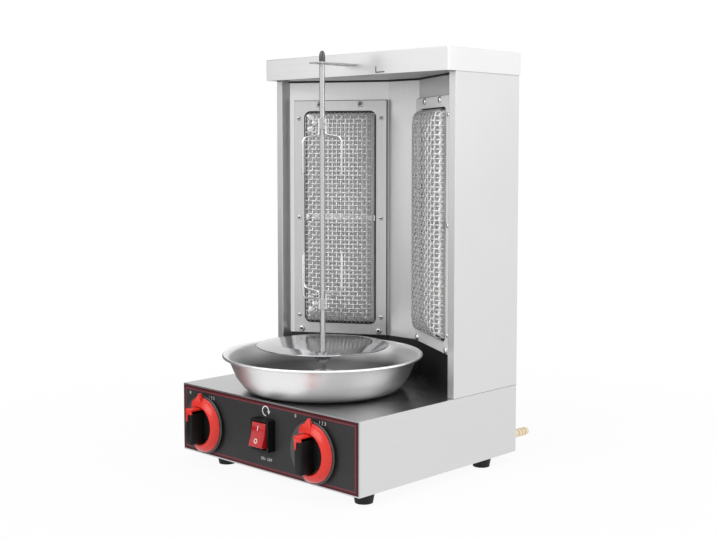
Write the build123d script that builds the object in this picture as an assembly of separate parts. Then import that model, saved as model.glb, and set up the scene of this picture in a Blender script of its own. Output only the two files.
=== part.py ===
from build123d import *
import math
import os

# Electric skewer grill: a vertical broiler with two gas-fired ceramic burners and an electric spit drive.
# Millimetres, +Z up. Pieces are drawn in machine coordinates: x = 0 on the centre line, y = 0 on the front
# plane of the base box and growing to the back, z = 0 on the underside of the base box. When they are saved
# they move by OUTPUT_SHIFT, so that the origin lies at the middle of the whole grill, on the surface it
# stands on.

# ---------------------------------------------------------------- driving sizes
SHEET = 1.2                    # stainless sheet of base, body and cap
RUNNING_CLEARANCE = 0.05       # radial play of a turning or sliding fit
LOOSE_CLEARANCE = 0.35         # play between pieces that move past each other
SEAT_GAP = 0.3                 # rest gap between bodies that meet end to end

# plain screws of body and burner frames
SCREW_RADIUS = 1.5
SCREW_HEAD_RADIUS = 2.6
SCREW_HEAD_HEIGHT = 1.5
SCREW_LENGTH = 8.0
BACK_SCREW_INSET = 8.0

# base box
BASE_WIDTH = 280.0
BASE_DEPTH = 256.0
BASE_HEIGHT = 76.5
HALF_WIDTH = BASE_WIDTH / 2
OVERLAY_THICKNESS = 0.5
OVERLAY_MARGIN = 1.5
TRAY_LIP = 12.0
FOOT_HEIGHT = 10.0
FOOT_TOP_RADIUS = 11.0
FOOT_BOTTOM_RADIUS = 9.25
FOOT_SCREW_RADIUS = 2.0
FOOT_SCREW_HEAD_RADIUS = 3.8
FOOT_SCREW_HEAD_HEIGHT = 2.0
FOOT_SCREW_END = 5.0           # free thread above the tray floor
FOOT_RECESS_RADIUS = 5.0
FOOT_RECESS_DEPTH = 4.0
FOOT_NUT_RADIUS = 4.0
FOOT_NUT_HEIGHT = 3.2
STEM_HOLE_RADIUS = 6.5
FOOT_LEFT_X = 54.0 - HALF_WIDTH
FOOT_RIGHT_X = HALF_WIDTH - 12.0
FOOT_FRONT_Y = 19.0
FOOT_BACK_Y = BASE_DEPTH - 48.0

# burner frames; the tiles, the body and the spit follow their size
FRAME_WIDTH = 114.5
FRAME_HEIGHT = 281.0
FRAME_SHEET = 2.0
FRAME_BORDER_SIDE = 12.5       # frame edge to window edge
FRAME_BORDER_TOP = 12.0
FRAME_FOOT_MARGIN = 1.0        # liner edge to frame edge, at the bottom
FRAME_TOP_MARGIN = 24.0        # frame edge to ceiling

# body and cap
BODY_FRONT_Y = BASE_DEPTH - 111.0
LINER_FOOT_HEIGHT = 42.5       # bottom edge of the liner above the base top
LINER_BOTTOM_Z = BASE_HEIGHT + LINER_FOOT_HEIGHT
BURNER_CENTRE_Z = LINER_BOTTOM_Z + FRAME_FOOT_MARGIN + FRAME_HEIGHT / 2
BODY_TOP_Z = BURNER_CENTRE_Z + FRAME_HEIGHT / 2 + FRAME_TOP_MARGIN
STRIP_WIDTH = 9.3
STRIP_INNER_X = HALF_WIDTH - STRIP_WIDTH
RETURN_DEPTH = 15.0
BODY_FLANGE = 9.0
CAP_HEIGHT = 25.0
CAP_TOP_Z = BODY_TOP_Z + CAP_HEIGHT
CAP_SIDE_OVERHANG = 2.0
CAP_FRONT_OVERHANG = 15.0
CEILING_LIP = 8.0
VENT_WIDTH = 44.0
VENT_HEIGHT = 4.0
VENT_PITCH = 10.0
VENT_ROWS = 5
VENT_SIDE_X = 52.0
VENT_TOP_DROP = 30.0
RELIEF_X = 38.4                # L-shaped relief cut in the lower edge of the cap front
RELIEF_HEIGHT = 1.5
RELIEF_RISE = 7.0
RELIEF_LENGTH = 13.5
RELIEF_CUT = 1.2

# reflector liner: two side panels turned to the spit, and a narrow middle panel
LINER_SHEET = 1.0
LINER_ANGLE = 30.0
LINER_PANEL = FRAME_WIDTH + 8.5  # from a side panel's fold to the strip
LINER_FOLD_X = STRIP_INNER_X - LINER_PANEL * math.cos(math.radians(LINER_ANGLE))
LINER_FOLD_Y = BASE_DEPTH - 36.5
SKIRT_OVERLAP = 2.0

# burners
WINDOW_WIDTH = FRAME_WIDTH - 2 * FRAME_BORDER_SIDE
WINDOW_HEIGHT = FRAME_HEIGHT - 2 * FRAME_BORDER_TOP
TILE_WIDTH = WINDOW_WIDTH + 2.5
TILE_HEIGHT = (WINDOW_HEIGHT + 7.0) / 2
TILE_THICKNESS = 13.0
TILE_GAP = 0.3
BURNER_SHEET = 1.5
BURNER_DEPTH = 32.0
TILE_LEDGE = 3.0
FLANGE_WIDTH = FRAME_WIDTH + 2.5
FLANGE_HEIGHT = FRAME_HEIGHT + 2.0
BURNER_ALONG = FLANGE_WIDTH / 2 + 0.5  # burner centre, along its panel from the fold
WINDOW_RADIUS = 8.0
GUARD_SHEET = 1.0
GUARD_REACH = 12.0
GUARD_SLOPE = 3.0
GUARD_COLUMNS = 9
GUARD_ROWS = 26
GUARD_WIRE = 2.0
GUARD_PLAY = 0.3
FRAME_SCREW_X = (WINDOW_WIDTH + FRAME_BORDER_SIDE) / 2
FRAME_SCREW_Z = FRAME_HEIGHT / 2 - 21.0
FRAME_SCREW_RADIUS = 1.5
MOUNT_SCREW_RADIUS = 1.9
MOUNT_SCREW_Z = FRAME_HEIGHT / 2 - 4.3
MOUNT_SCREW_TOP_X = 25.2
MOUNT_SCREW_BOTTOM_X = FRAME_WIDTH / 2 - 9.25
MOUNT_SCREW_REACH = 6.0
MOUNT_HEAD_RADIUS = 3.8
MOUNT_HEAD_HEIGHT = 2.6
THROAT_RADIUS = 11.0
THROAT_LENGTH = 31.0
THROAT_WALL = 1.5

# gas supply
PIPE_RADIUS = 4.0
PIPE_BEND = 12.0
VALVE_WIDTH = 22.0
VALVE_FRONT_Y = 12.0
VALVE_LENGTH = 40.0
VALVE_NOSE_RADIUS = 9.0
JET_FLANGE_RADIUS = 9.0
JET_FLANGE_HEIGHT = 5.5
JET_BODY_RADIUS = 6.0
JET_BODY_DROP = 6.5
JET_TIP_RADIUS = 3.0
JET_TIP_HEIGHT = 22.0
CROSS_PIPE_Y = 44.0
FEED_OFFSET = 50.0             # where a feed pipe turns towards its jet
NOZZLE_X = HALF_WIDTH - 20.0
NOZZLE_Z = 12.0
NOZZLE_REACH = 47.0
NOZZLE_RADIUS = 4.75
NOZZLE_BORE = 2.5
NOZZLE_BARB = 0.55
NOZZLE_BARBS = 4
NOZZLE_HEX = 7.5
NOZZLE_HEX_LENGTH = 6.0
NOZZLE_PLAIN = 17.0            # smooth stretch between hexagon and barbs
NOZZLE_STUB = 8.0              # threaded end inside the back wall

# knobs and valve stems
KNOB_LEFT_X = 41.5 - HALF_WIDTH
KNOB_RIGHT_X = HALF_WIDTH - 62.0
KNOB_Z = BASE_HEIGHT / 2 - 2.75
KNOB_TRAVEL = 3.0
KNOB_SKIRT_RADIUS = 31.0
KNOB_SKIRT_BACK = 4.1          # back of the skirt, in front of the base plane
KNOB_SKIRT_THICKNESS = 1.9
RING_OUTER_RADIUS = 29.5
RING_INNER_RADIUS = 21.4
RING_DEPTH = 7.3
RING_EDGE = 1.2
GRIP_WIDTH = 10.0
GRIP_HEIGHT = 39.0
GRIP_REACH = 25.5
GRIP_WALL = 8.0                # solid front of the grip, before the stem
GRIP_CHAMFER = 0.8
POINTER_RADIUS = 36.0
POINTER_WIDTH = 13.0
POINTER_THICKNESS = 4.0
FIN_THICKNESS = 2.6
STRIPE_WIDTH = 3.6
STRIPE_LENGTH = 14.0
STRIPE_THICKNESS = 0.8
STEM_RADIUS = 3.0
STEM_BACK_Y = 15.0
SLEEVE_RADIUS = 5.5
SLEEVE_FRONT_Y = 3.0
SLEEVE_LENGTH = 10.0

# rocker switch
SWITCH_X = 3.0
SWITCH_Z = BASE_HEIGHT / 2 + 3.25
BEZEL_WIDTH = 28.0
BEZEL_HEIGHT = 34.0
BEZEL_REACH = 10.5
SWITCH_BODY_DEPTH = 26.0
ROCKER_WIDTH = 21.4
ROCKER_HALF_HEIGHT = 13.0
ROCKER_FACE = 6.0
ROCKER_TILT = 13.0
ROCKER_PIVOT_REACH = 8.5
ROCKER_PIN_RADIUS = 1.5
ROCKER_PIN_LENGTH = 2.0
ROCKER_BACK = 2.0
ROCKER_TAPER = 0.8
ROCKER_HEEL = 6.0
ROCKER_HEEL_HALF = 4.0
SWITCH_BODY_WIDTH = 22.0
SWITCH_BODY_HEIGHT = 29.0
BEZEL_CORNER = 1.5
WELL_FLOOR = 0.6               # floor of the rocker's well in front of the base plane

# spit drive
SPIT_Y = BODY_FRONT_Y - 59.0
SHAFT_RADIUS = 3.5
BUSH_RADIUS = 6.0
BUSH_FLANGE_RADIUS = 9.5
BUSH_FLANGE_HEIGHT = 1.5
COUPLING_RADIUS = 12.0
COUPLING_LIFT = 2.5            # underside of the coupling above the base top
COUPLING_HEIGHT = 18.0
SOCKET_DEPTH = 15.0
SPIT_SQUARE = 5.0
GEARBOX_WIDTH = 66.0
GEARBOX_DEPTH = 52.0
GEARBOX_HEIGHT = 20.0
SHAFT_FLOOR = 4.0              # gearbox floor under the shaft
MOTOR_RADIUS = 25.0
MOTOR_HEIGHT = 26.0
MOTOR_OFFSET = 8.0
BRACKET_SHEET = 2.0
BRACKET_DROP = 9.0             # space between base top and the motor bracket plate
BRACKET_LEG_X = 39.0
BRACKET_FOOT = 12.0
MOTOR_SCREW_X = 26.0
MOTOR_SCREW_Y = 19.0

# spit, disc and forks
SPIT_RADIUS = 3.0
SPIT_TOP_Z = CAP_TOP_Z + 0.5
SPIT_TIP_HEIGHT = 12.5
COLLAR_RADIUS = 6.0
COLLAR_HEIGHT = 4.0
COLLAR_LIFT = 10.0             # collar above the coupling
DISC_Z = BASE_HEIGHT + 49.0    # underside of the disc rim
DISC_RADIUS = 73.4
DISC_TOP_RADIUS = DISC_RADIUS - 11.9
DISC_RISE = 3.0
DISC_SHEET = 1.2
DISC_HUB_RADIUS = 9.0
DISC_RIM = 1.5
FORK_HUB_RADIUS = 5.0
FORK_HUB_HEIGHT = 13.0
FORK_WIRE_RADIUS = 1.15
FORK_WIRE_INSET = 5.6
FORK_REACH = 30.0
FORK_BEND = 5.0
FORK_ROOT_BEND = 3.0
FORK_LONG_ARM = 8.0
FORK_SHORT_ARM = 1.5
FORK_SHORT_ROOT_BEND = 1.2
FORK_TIP = 47.0
FORK_TIP_LENGTH = 3.0
LOWER_FORK_Z = DISC_Z + 40.0   # bottom of the lower hub
UPPER_FORK_Z = BODY_TOP_Z - 47.5  # top of the upper hub
WING_AZIMUTH = 225.0
WING_SCREW_RADIUS = 2.0
WING_SCREW_REACH = 12.0
WING_BOSS_RADIUS = 3.4
WING_BOSS_START = 7.5
WING_BOSS_LENGTH = 4.0
WING_START = 8.6
WING_LENGTH = 8.0
WING_SPAN = 19.0
WING_THICKNESS = 1.8

# top holder of the spit
HOLDER_WIDTH = 20.0
HOLDER_SHEET = 1.5
HOLDER_Z = BODY_TOP_Z + 11.0
HOLDER_NOSE = 12.0
HOLDER_TAB_HEIGHT = 9.0
HOLDER_SCREW_X = 6.0

# drip pan
PAN_RIM_RADIUS = 111.2
PAN_LIP_RADIUS = PAN_RIM_RADIUS - 6.2
PAN_FLOOR_RADIUS = PAN_RIM_RADIUS - 27.2
PAN_SHOULDER_RADIUS = PAN_RIM_RADIUS - 12.7
PAN_HEIGHT = 41.0
PAN_SHOULDER_HEIGHT = PAN_HEIGHT - 19.0
PAN_LIP_DROP = 3.2
PAN_SHEET = 1.0
PAN_COLLAR_RADIUS = 18.0
PAN_COLLAR_HEIGHT = 14.0

# appliance inlet in the back of the base
INLET_X = 40.0 - HALF_WIDTH
INLET_Z = BASE_HEIGHT / 2 - 4.25
INLET_WIDTH = 28.0
INLET_HEIGHT = 19.0
INLET_FLANGE = 2.0
INLET_DEPTH = 18.0
INLET_RECESS_WIDTH = 17.0
INLET_RECESS_HEIGHT = 9.0
INLET_RECESS_DEPTH = 12.0
INLET_PIN_RADIUS = 1.2
INLET_PIN_SPREAD = 4.3

# ---------------------------------------------------------------- derived places
CAP_FRONT_Y = BODY_FRONT_Y - CAP_FRONT_OVERHANG
CAP_HALF_WIDTH = HALF_WIDTH + CAP_SIDE_OVERHANG
KNOB_XS = {"left": KNOB_LEFT_X, "right": KNOB_RIGHT_X}
SIDES = {"left": -1, "right": 1}
FRONT_REACH = max(GRIP_REACH + STRIPE_THICKNESS, PAN_RIM_RADIUS - SPIT_Y)
BACK_REACH = BASE_DEPTH + NOZZLE_REACH
OUTPUT_SHIFT = Pos(0, (FRONT_REACH - BACK_REACH) / 2, FOOT_HEIGHT)
COUPLING_Z = BASE_HEIGHT + COUPLING_LIFT
SOCKET_FLOOR_Z = COUPLING_Z + COUPLING_HEIGHT - SOCKET_DEPTH
SQUARE_PLAY = 2 * LOOSE_CLEARANCE
GEARBOX_TOP_Z = BASE_HEIGHT - SHEET - BRACKET_DROP - BRACKET_SHEET
BOX_INNER_WIDTH = TILE_WIDTH + 2 * TILE_GAP
BOX_INNER_HEIGHT = 2 * TILE_HEIGHT + 3 * TILE_GAP
BOX_OUTER_WIDTH = BOX_INNER_WIDTH + 2 * BURNER_SHEET
BOX_OUTER_HEIGHT = BOX_INNER_HEIGHT + 2 * BURNER_SHEET
FRAME_BACK = BURNER_SHEET + GUARD_SHEET
FRAME_FRONT = FRAME_BACK + FRAME_SHEET
JET_SPREAD = BURNER_DEPTH / 2  # throat centre behind the liner plane


# ---------------------------------------------------------------- helpers
def block(x0, x1, y0, y1, z0, z1):
    """A box between two corners."""
    middle = Pos((x0 + x1) / 2, (y0 + y1) / 2, (z0 + z1) / 2)
    return middle * Box(abs(x1 - x0), abs(y1 - y0), abs(z1 - z0))


def post(x, y, z0, z1, radius):
    """An upright cylinder."""
    return Pos(x, y, (z0 + z1) / 2) * Cylinder(radius, abs(z1 - z0))


def bar(x, z, y0, y1, radius):
    """A cylinder along Y."""
    return Pos(x, (y0 + y1) / 2, z) * Rot(90, 0, 0) * Cylinder(radius, abs(y1 - y0))


def crossbar(y, z, x0, x1, radius):
    """A cylinder along X."""
    return Pos((x0 + x1) / 2, y, z) * Rot(0, 90, 0) * Cylinder(radius, abs(x1 - x0))


def plate_xz(width, height, y0, y1, corner=0.0):
    """An upright plate centred on x = z = 0, with rounded corners."""
    outline = RectangleRounded(width, height, corner) if corner else Rectangle(width, height)
    return extrude(Plane.XZ.offset(-max(y0, y1)) * outline, abs(y1 - y0))


def extrude_up(points, z0, z1):
    """An upright prism over a closed outline of plan points."""
    return Pos(0, 0, z0) * extrude(make_face(Polyline(*points, close=True)), z1 - z0)


def extrude_across(points, x0, x1):
    """A prism along X over a closed outline of (y, z) points."""
    face = Plane.YZ * make_face(Polyline(*points, close=True))
    return Pos(x0, 0, 0) * extrude(face, x1 - x0)


def turned(points):
    """A solid of revolution about Z from (radius, z) points."""
    return revolve(Plane.XZ * make_face(Polyline(*points, close=True)), Axis.Z)


def wire_along(points, radii, radius):
    """A round wire or pipe on straight runs with rounded corners."""
    path = FilletPolyline(*points, radius=radii) if len(points) > 2 else Polyline(*points)
    start = Plane(origin=path @ 0, z_dir=path % 0)
    return sweep(start * Circle(radius), path)


def hexagon(across, length):
    """A hexagonal prism along Z, from z = 0."""
    return extrude(RegularPolygon(across, 6), length)


def burner_place(sign):
    """Frame of a burner: centred on its panel, +Y to the back of the panel, -Y to the spit."""
    angle = math.radians(LINER_ANGLE)
    x = LINER_FOLD_X + BURNER_ALONG * math.cos(angle)
    y = LINER_FOLD_Y - BURNER_ALONG * math.sin(angle)
    return Pos(sign * x, y, BURNER_CENTRE_Z) * Rot(0, 0, -sign * LINER_ANGLE)


def jet_place(sign):
    """Plan position of a burner's throat and jet."""
    place = burner_place(sign) * Pos(0, JET_SPREAD, 0)
    return place.position.X, place.position.Y


def fold_line(setback):
    """Plan points of the liner's inner face, moved back by a setback, from left to right."""
    angle = math.radians(LINER_ANGLE)
    shift = setback / math.cos(angle)
    fold_x = LINER_FOLD_X + setback * math.tan(angle / 2)
    fold_y = LINER_FOLD_Y + setback
    edge_y = LINER_FOLD_Y - (STRIP_INNER_X - LINER_FOLD_X) * math.tan(angle) + shift
    return [(-STRIP_INNER_X, edge_y), (-fold_x, fold_y), (fold_x, fold_y), (STRIP_INNER_X, edge_y)]


def folded_sheet(setback, thickness, z0, z1):
    """A three-panel folded sheet between two setbacks of the liner line."""
    return extrude_up(fold_line(setback) + fold_line(setback + thickness)[::-1], z0, z1)


def fuse(first, *others):
    """Join solids into one."""
    result = first
    for other in others:
        result = result + other
    return result


# ---------------------------------------------------------------- base box
def base_cover():
    """Top plate and both sides of the base box, folded from one sheet."""
    outer = block(-HALF_WIDTH, HALF_WIDTH, 0, BASE_DEPTH, 0, BASE_HEIGHT)
    inner = block(-HALF_WIDTH + SHEET, HALF_WIDTH - SHEET, -1, BASE_DEPTH + 1, -1, BASE_HEIGHT - SHEET)
    cover = outer - inner - block(-HALF_WIDTH, HALF_WIDTH, 0, SHEET, 0, BASE_HEIGHT - SHEET)
    cover -= post(0, SPIT_Y, 0, BASE_HEIGHT + 1, BUSH_RADIUS)
    for sign in SIDES.values():
        x, y = jet_place(sign)
        cover -= post(x, y, 0, BASE_HEIGHT + 1, JET_BODY_RADIUS)
    return cover


def base_tray():
    """Floor and back wall of the base box, with a lip along each side."""
    edge = HALF_WIDTH - SHEET
    floor = block(-edge, edge, SHEET, BASE_DEPTH, 0, SHEET)
    back = block(-edge, edge, BASE_DEPTH - SHEET, BASE_DEPTH, 0, BASE_HEIGHT - SHEET)
    lips = [block(sign * edge, sign * (edge - SHEET), SHEET, BASE_DEPTH, 0, TRAY_LIP) for sign in (-1, 1)]
    tray = fuse(floor, back, *lips)
    tray -= bar(NOZZLE_X, NOZZLE_Z, BASE_DEPTH - 5, BASE_DEPTH + 5, NOZZLE_RADIUS)
    tray -= Pos(INLET_X, 0, INLET_Z) * plate_xz(
        INLET_WIDTH - 4, INLET_HEIGHT - 4, BASE_DEPTH - 5, BASE_DEPTH + 5)
    for x, y in foot_points():
        tray -= post(x, y, -1, SHEET + 1, FOOT_SCREW_RADIUS)
    return tray


def control_panel():
    """Front plate of the base box, with holes for the stems and the switch."""
    panel = block(-HALF_WIDTH, HALF_WIDTH, 0, SHEET, 0, BASE_HEIGHT - SHEET)
    for x in KNOB_XS.values():
        panel -= bar(x, KNOB_Z, -1, SHEET + 1, STEM_HOLE_RADIUS)
    return panel - switch_cutout()


def panel_overlay():
    """Printed plate on the front panel."""
    edge = HALF_WIDTH - OVERLAY_MARGIN
    overlay = block(-edge, edge, -OVERLAY_THICKNESS, 0, OVERLAY_MARGIN, BASE_HEIGHT - OVERLAY_MARGIN)
    for x in KNOB_XS.values():
        overlay -= bar(x, KNOB_Z, -1, SHEET + 1, STEM_HOLE_RADIUS)
    return overlay - switch_cutout()


def foot_points():
    """Plan positions of the four feet."""
    return [(x, y) for y in (FOOT_FRONT_Y, FOOT_BACK_Y) for x in (FOOT_LEFT_X, FOOT_RIGHT_X)]


def foot(x, y):
    """Rubber foot, tapered, with a recess for its screw head."""
    body = turned([(0, 0), (FOOT_TOP_RADIUS, 0), (FOOT_BOTTOM_RADIUS, -FOOT_HEIGHT), (0, -FOOT_HEIGHT)])
    body -= post(0, 0, -FOOT_HEIGHT - 1, -FOOT_HEIGHT + FOOT_RECESS_DEPTH, FOOT_RECESS_RADIUS)
    body -= post(0, 0, -FOOT_HEIGHT, 1, FOOT_SCREW_RADIUS)
    return Pos(x, y, 0) * body


def foot_screw(x, y):
    """Screw with its head in the foot and its nut on the tray floor."""
    head_top = -FOOT_HEIGHT + FOOT_RECESS_DEPTH
    head = post(x, y, head_top - FOOT_SCREW_HEAD_HEIGHT, head_top, FOOT_SCREW_HEAD_RADIUS)
    shank = post(x, y, head_top, SHEET + FOOT_SCREW_END, FOOT_SCREW_RADIUS)
    nut = Pos(x, y, SHEET) * hexagon(FOOT_NUT_RADIUS, FOOT_NUT_HEIGHT)
    return fuse(head, shank, nut)


# ---------------------------------------------------------------- body and cap
def side_panel(sign):
    """Side wall of the body with its front strip, inner return and bottom flange."""
    outer = HALF_WIDTH
    inner = outer - SHEET
    wall = block(outer, inner, BODY_FRONT_Y, BASE_DEPTH, BASE_HEIGHT, BODY_TOP_Z)
    strip = block(STRIP_INNER_X, outer, BODY_FRONT_Y, BODY_FRONT_Y + SHEET, BASE_HEIGHT, BODY_TOP_Z)
    inner_return = block(STRIP_INNER_X, STRIP_INNER_X + SHEET, BODY_FRONT_Y, BODY_FRONT_Y + RETURN_DEPTH,
                         BASE_HEIGHT, BODY_TOP_Z)
    flange = block(outer - BODY_FLANGE, outer, BODY_FRONT_Y + RETURN_DEPTH + SHEET, BASE_DEPTH - SHEET,
                   BASE_HEIGHT, BASE_HEIGHT + SHEET)
    panel = fuse(wall, strip, inner_return, flange)
    return panel if sign > 0 else mirror(panel, Plane.YZ)


def back_panel():
    """Back wall of the body, with two fields of vent slots and its screw holes."""
    edge = HALF_WIDTH - SHEET
    panel = block(-edge, edge, BASE_DEPTH - SHEET, BASE_DEPTH, BASE_HEIGHT, BODY_TOP_Z)
    slots = [
        Pos(sign * VENT_SIDE_X, 0, BODY_TOP_Z - VENT_TOP_DROP - row * VENT_PITCH)
        * plate_xz(VENT_WIDTH, VENT_HEIGHT, BASE_DEPTH - 5, BASE_DEPTH + 5, VENT_HEIGHT * 0.45)
        for sign in (-1, 1) for row in range(VENT_ROWS)
    ]
    panel = panel - slots
    for x, z in back_screw_points():
        panel -= bar(x, z, BASE_DEPTH - 5, BASE_DEPTH + 5, SCREW_RADIUS)
    return panel


def back_screw_points():
    """Screws of the back panel as (x, z)."""
    x = HALF_WIDTH - BACK_SCREW_INSET
    low = BASE_HEIGHT + BACK_SCREW_INSET
    high = BODY_TOP_Z - BACK_SCREW_INSET
    return [(sign * x, z) for sign in (-1, 1) for z in (low, (low + high) / 2, high)]


def back_screw(x, z):
    """Pan-head screw in the back panel."""
    head = bar(x, z, BASE_DEPTH, BASE_DEPTH + SCREW_HEAD_HEIGHT, SCREW_HEAD_RADIUS)
    return fuse(head, bar(x, z, BASE_DEPTH - SCREW_LENGTH, BASE_DEPTH, SCREW_RADIUS))


def top_cap():
    """Folded lid with a slot for the spit holder and an L-shaped relief cut in its front edge."""
    outer = block(-CAP_HALF_WIDTH, CAP_HALF_WIDTH, CAP_FRONT_Y, BASE_DEPTH, BODY_TOP_Z, CAP_TOP_Z)
    inner = block(-CAP_HALF_WIDTH + SHEET, CAP_HALF_WIDTH - SHEET, CAP_FRONT_Y + SHEET, BASE_DEPTH - SHEET,
                  BODY_TOP_Z - 1, CAP_TOP_Z - SHEET)
    cap = outer - inner
    half = HOLDER_WIDTH / 2
    cap -= block(-half, half, CAP_FRONT_Y - 1, CAP_FRONT_Y + SHEET, HOLDER_Z, HOLDER_Z + HOLDER_SHEET)
    front = (CAP_FRONT_Y - 1, CAP_FRONT_Y + SHEET)
    foot_z = BODY_TOP_Z + RELIEF_HEIGHT
    cap -= block(RELIEF_X, RELIEF_X + RELIEF_CUT, *front, foot_z, foot_z + RELIEF_RISE)
    cap -= block(RELIEF_X, RELIEF_X + RELIEF_LENGTH, *front, foot_z, foot_z + RELIEF_CUT)
    return cap


def ceiling_plate():
    """Plate over the chamber and the body, with its edges turned up inside the cap."""
    edge_x = CAP_HALF_WIDTH - SHEET
    front = CAP_FRONT_Y + SHEET
    back = BASE_DEPTH - SHEET
    tray = block(-edge_x, edge_x, front, back, BODY_TOP_Z, BODY_TOP_Z + CEILING_LIP)
    tray -= block(-edge_x + SHEET, edge_x - SHEET, front + SHEET, back - SHEET, BODY_TOP_Z + SHEET, CAP_TOP_Z)
    return tray


def liner():
    """Polished reflector behind and beside the spit, cut out for both burners."""
    sheet = folded_sheet(0, LINER_SHEET, LINER_BOTTOM_Z, BODY_TOP_Z)
    hole = plate_xz(BOX_OUTER_WIDTH, BOX_OUTER_HEIGHT, -5, 5)
    for sign in SIDES.values():
        sheet -= burner_place(sign) * hole
        for x, z in mount_screw_points():
            sheet -= burner_place(sign) * bar(x, z, -5, 5, MOUNT_SCREW_RADIUS)
    return sheet


def lower_skirt():
    """Dark folded sheet below the liner, down to the base top."""
    return folded_sheet(LINER_SHEET, LINER_SHEET, BASE_HEIGHT, LINER_BOTTOM_Z + SKIRT_OVERLAP)


# ---------------------------------------------------------------- burners
def frame_screw_points():
    """Small screws of a burner frame as local (x, z)."""
    return [(x, z) for x in (-FRAME_SCREW_X, FRAME_SCREW_X) for z in (-FRAME_SCREW_Z, 0, FRAME_SCREW_Z)]


def mount_screw_points():
    """Large screws of a burner as local (x, z)."""
    top = [(x, MOUNT_SCREW_Z) for x in (-MOUNT_SCREW_TOP_X, MOUNT_SCREW_TOP_X)]
    return top + [(x, -MOUNT_SCREW_Z) for x in (-MOUNT_SCREW_BOTTOM_X, MOUNT_SCREW_BOTTOM_X)]


def drilled(plate):
    """A burner plate with all its screw holes."""
    small = [bar(x, z, -20, 20, FRAME_SCREW_RADIUS) for x, z in frame_screw_points()]
    large = [bar(x, z, -20, 20, MOUNT_SCREW_RADIUS) for x, z in mount_screw_points()]
    return plate - small - large


def burner_box():
    """Gas chamber behind a panel, with its flange, tile ledge and mixing throat."""
    flange = plate_xz(FLANGE_WIDTH, FLANGE_HEIGHT, -BURNER_SHEET, 0)
    shell = plate_xz(BOX_OUTER_WIDTH, BOX_OUTER_HEIGHT, 0, BURNER_DEPTH)
    throat_bottom = -BOX_OUTER_HEIGHT / 2 - THROAT_LENGTH
    throat = post(0, JET_SPREAD, throat_bottom, -BOX_INNER_HEIGHT / 2, THROAT_RADIUS)
    tile_back = TILE_THICKNESS - BURNER_SHEET
    ledge_width = BOX_INNER_WIDTH - 2 * TILE_LEDGE
    ledge_height = BOX_INNER_HEIGHT - 2 * TILE_LEDGE
    box = fuse(flange, shell, throat)
    box -= plate_xz(BOX_INNER_WIDTH, BOX_INNER_HEIGHT, -BURNER_SHEET - 1, tile_back)
    box -= plate_xz(ledge_width, ledge_height, tile_back - 1, tile_back + BURNER_SHEET + 0.001)
    box -= plate_xz(BOX_INNER_WIDTH, BOX_INNER_HEIGHT, tile_back + BURNER_SHEET, BURNER_DEPTH - BURNER_SHEET)
    box -= post(0, JET_SPREAD, throat_bottom - 1, -BOX_INNER_HEIGHT / 2 + 1, THROAT_RADIUS - THROAT_WALL)
    return drilled(box)


def ceramic_tiles():
    """Two perforated ceramic tiles, one above the other, with their grid of grooves."""
    offset = (TILE_HEIGHT + TILE_GAP) / 2
    front = -BURNER_SHEET
    back = TILE_THICKNESS - BURNER_SHEET
    tile = plate_xz(TILE_WIDTH, TILE_HEIGHT, front, back)
    return [Pos(0, 0, sign * offset) * tile for sign in (-1, 1)]


def burner_frame():
    """Front frame that holds the guard and the tiles."""
    frame = plate_xz(FRAME_WIDTH, FRAME_HEIGHT, -FRAME_FRONT, -FRAME_BACK)
    frame -= plate_xz(WINDOW_WIDTH, WINDOW_HEIGHT, -FRAME_FRONT - 1, 1, WINDOW_RADIUS)
    return drilled(frame)


def burner_guard():
    """Raised guard grille: a pressed basket with square holes, clamped by its rim."""
    rim = plate_xz(FRAME_WIDTH, FRAME_HEIGHT, -FRAME_BACK, -BURNER_SHEET)
    foot_width = WINDOW_WIDTH - 2 * GUARD_PLAY
    foot_height = WINDOW_HEIGHT - 2 * GUARD_PLAY
    corner = WINDOW_RADIUS - GUARD_PLAY
    basket = basket_solid(foot_width, foot_height, corner, -BURNER_SHEET, -FRAME_FRONT - GUARD_REACH)
    hollow = basket_solid(foot_width - 2 * GUARD_SHEET, foot_height - 2 * GUARD_SHEET, corner - GUARD_SHEET,
                          1 - BURNER_SHEET, -FRAME_FRONT - GUARD_REACH + GUARD_SHEET)
    face_width = foot_width - 2 * GUARD_SLOPE - 2 * GUARD_SHEET
    face_height = foot_height - 2 * GUARD_SLOPE - 2 * GUARD_SHEET
    pitch_x = face_width / GUARD_COLUMNS
    pitch_z = face_height / GUARD_ROWS
    hole = plate_xz(pitch_x - GUARD_WIRE, pitch_z - GUARD_WIRE, -FRAME_FRONT - GUARD_REACH - 1,
                    -FRAME_FRONT - GUARD_REACH + GUARD_SHEET + 1)
    holes = [
        Pos((column - (GUARD_COLUMNS - 1) / 2) * pitch_x, 0, (row - (GUARD_ROWS - 1) / 2) * pitch_z) * hole
        for column in range(GUARD_COLUMNS) for row in range(GUARD_ROWS)
    ]
    return drilled(fuse(rim, basket) - hollow - holes)


def basket_solid(width, height, corner, y_foot, y_face):
    """A shallow tapered block from a rounded foot outline to a smaller face outline."""
    foot_face = Plane.XZ.offset(-y_foot) * RectangleRounded(width, height, corner)
    top_face = Plane.XZ.offset(-y_face) * RectangleRounded(
        width - 2 * GUARD_SLOPE, height - 2 * GUARD_SLOPE, corner - GUARD_SLOPE / 2)
    return loft([foot_face, top_face])


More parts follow.
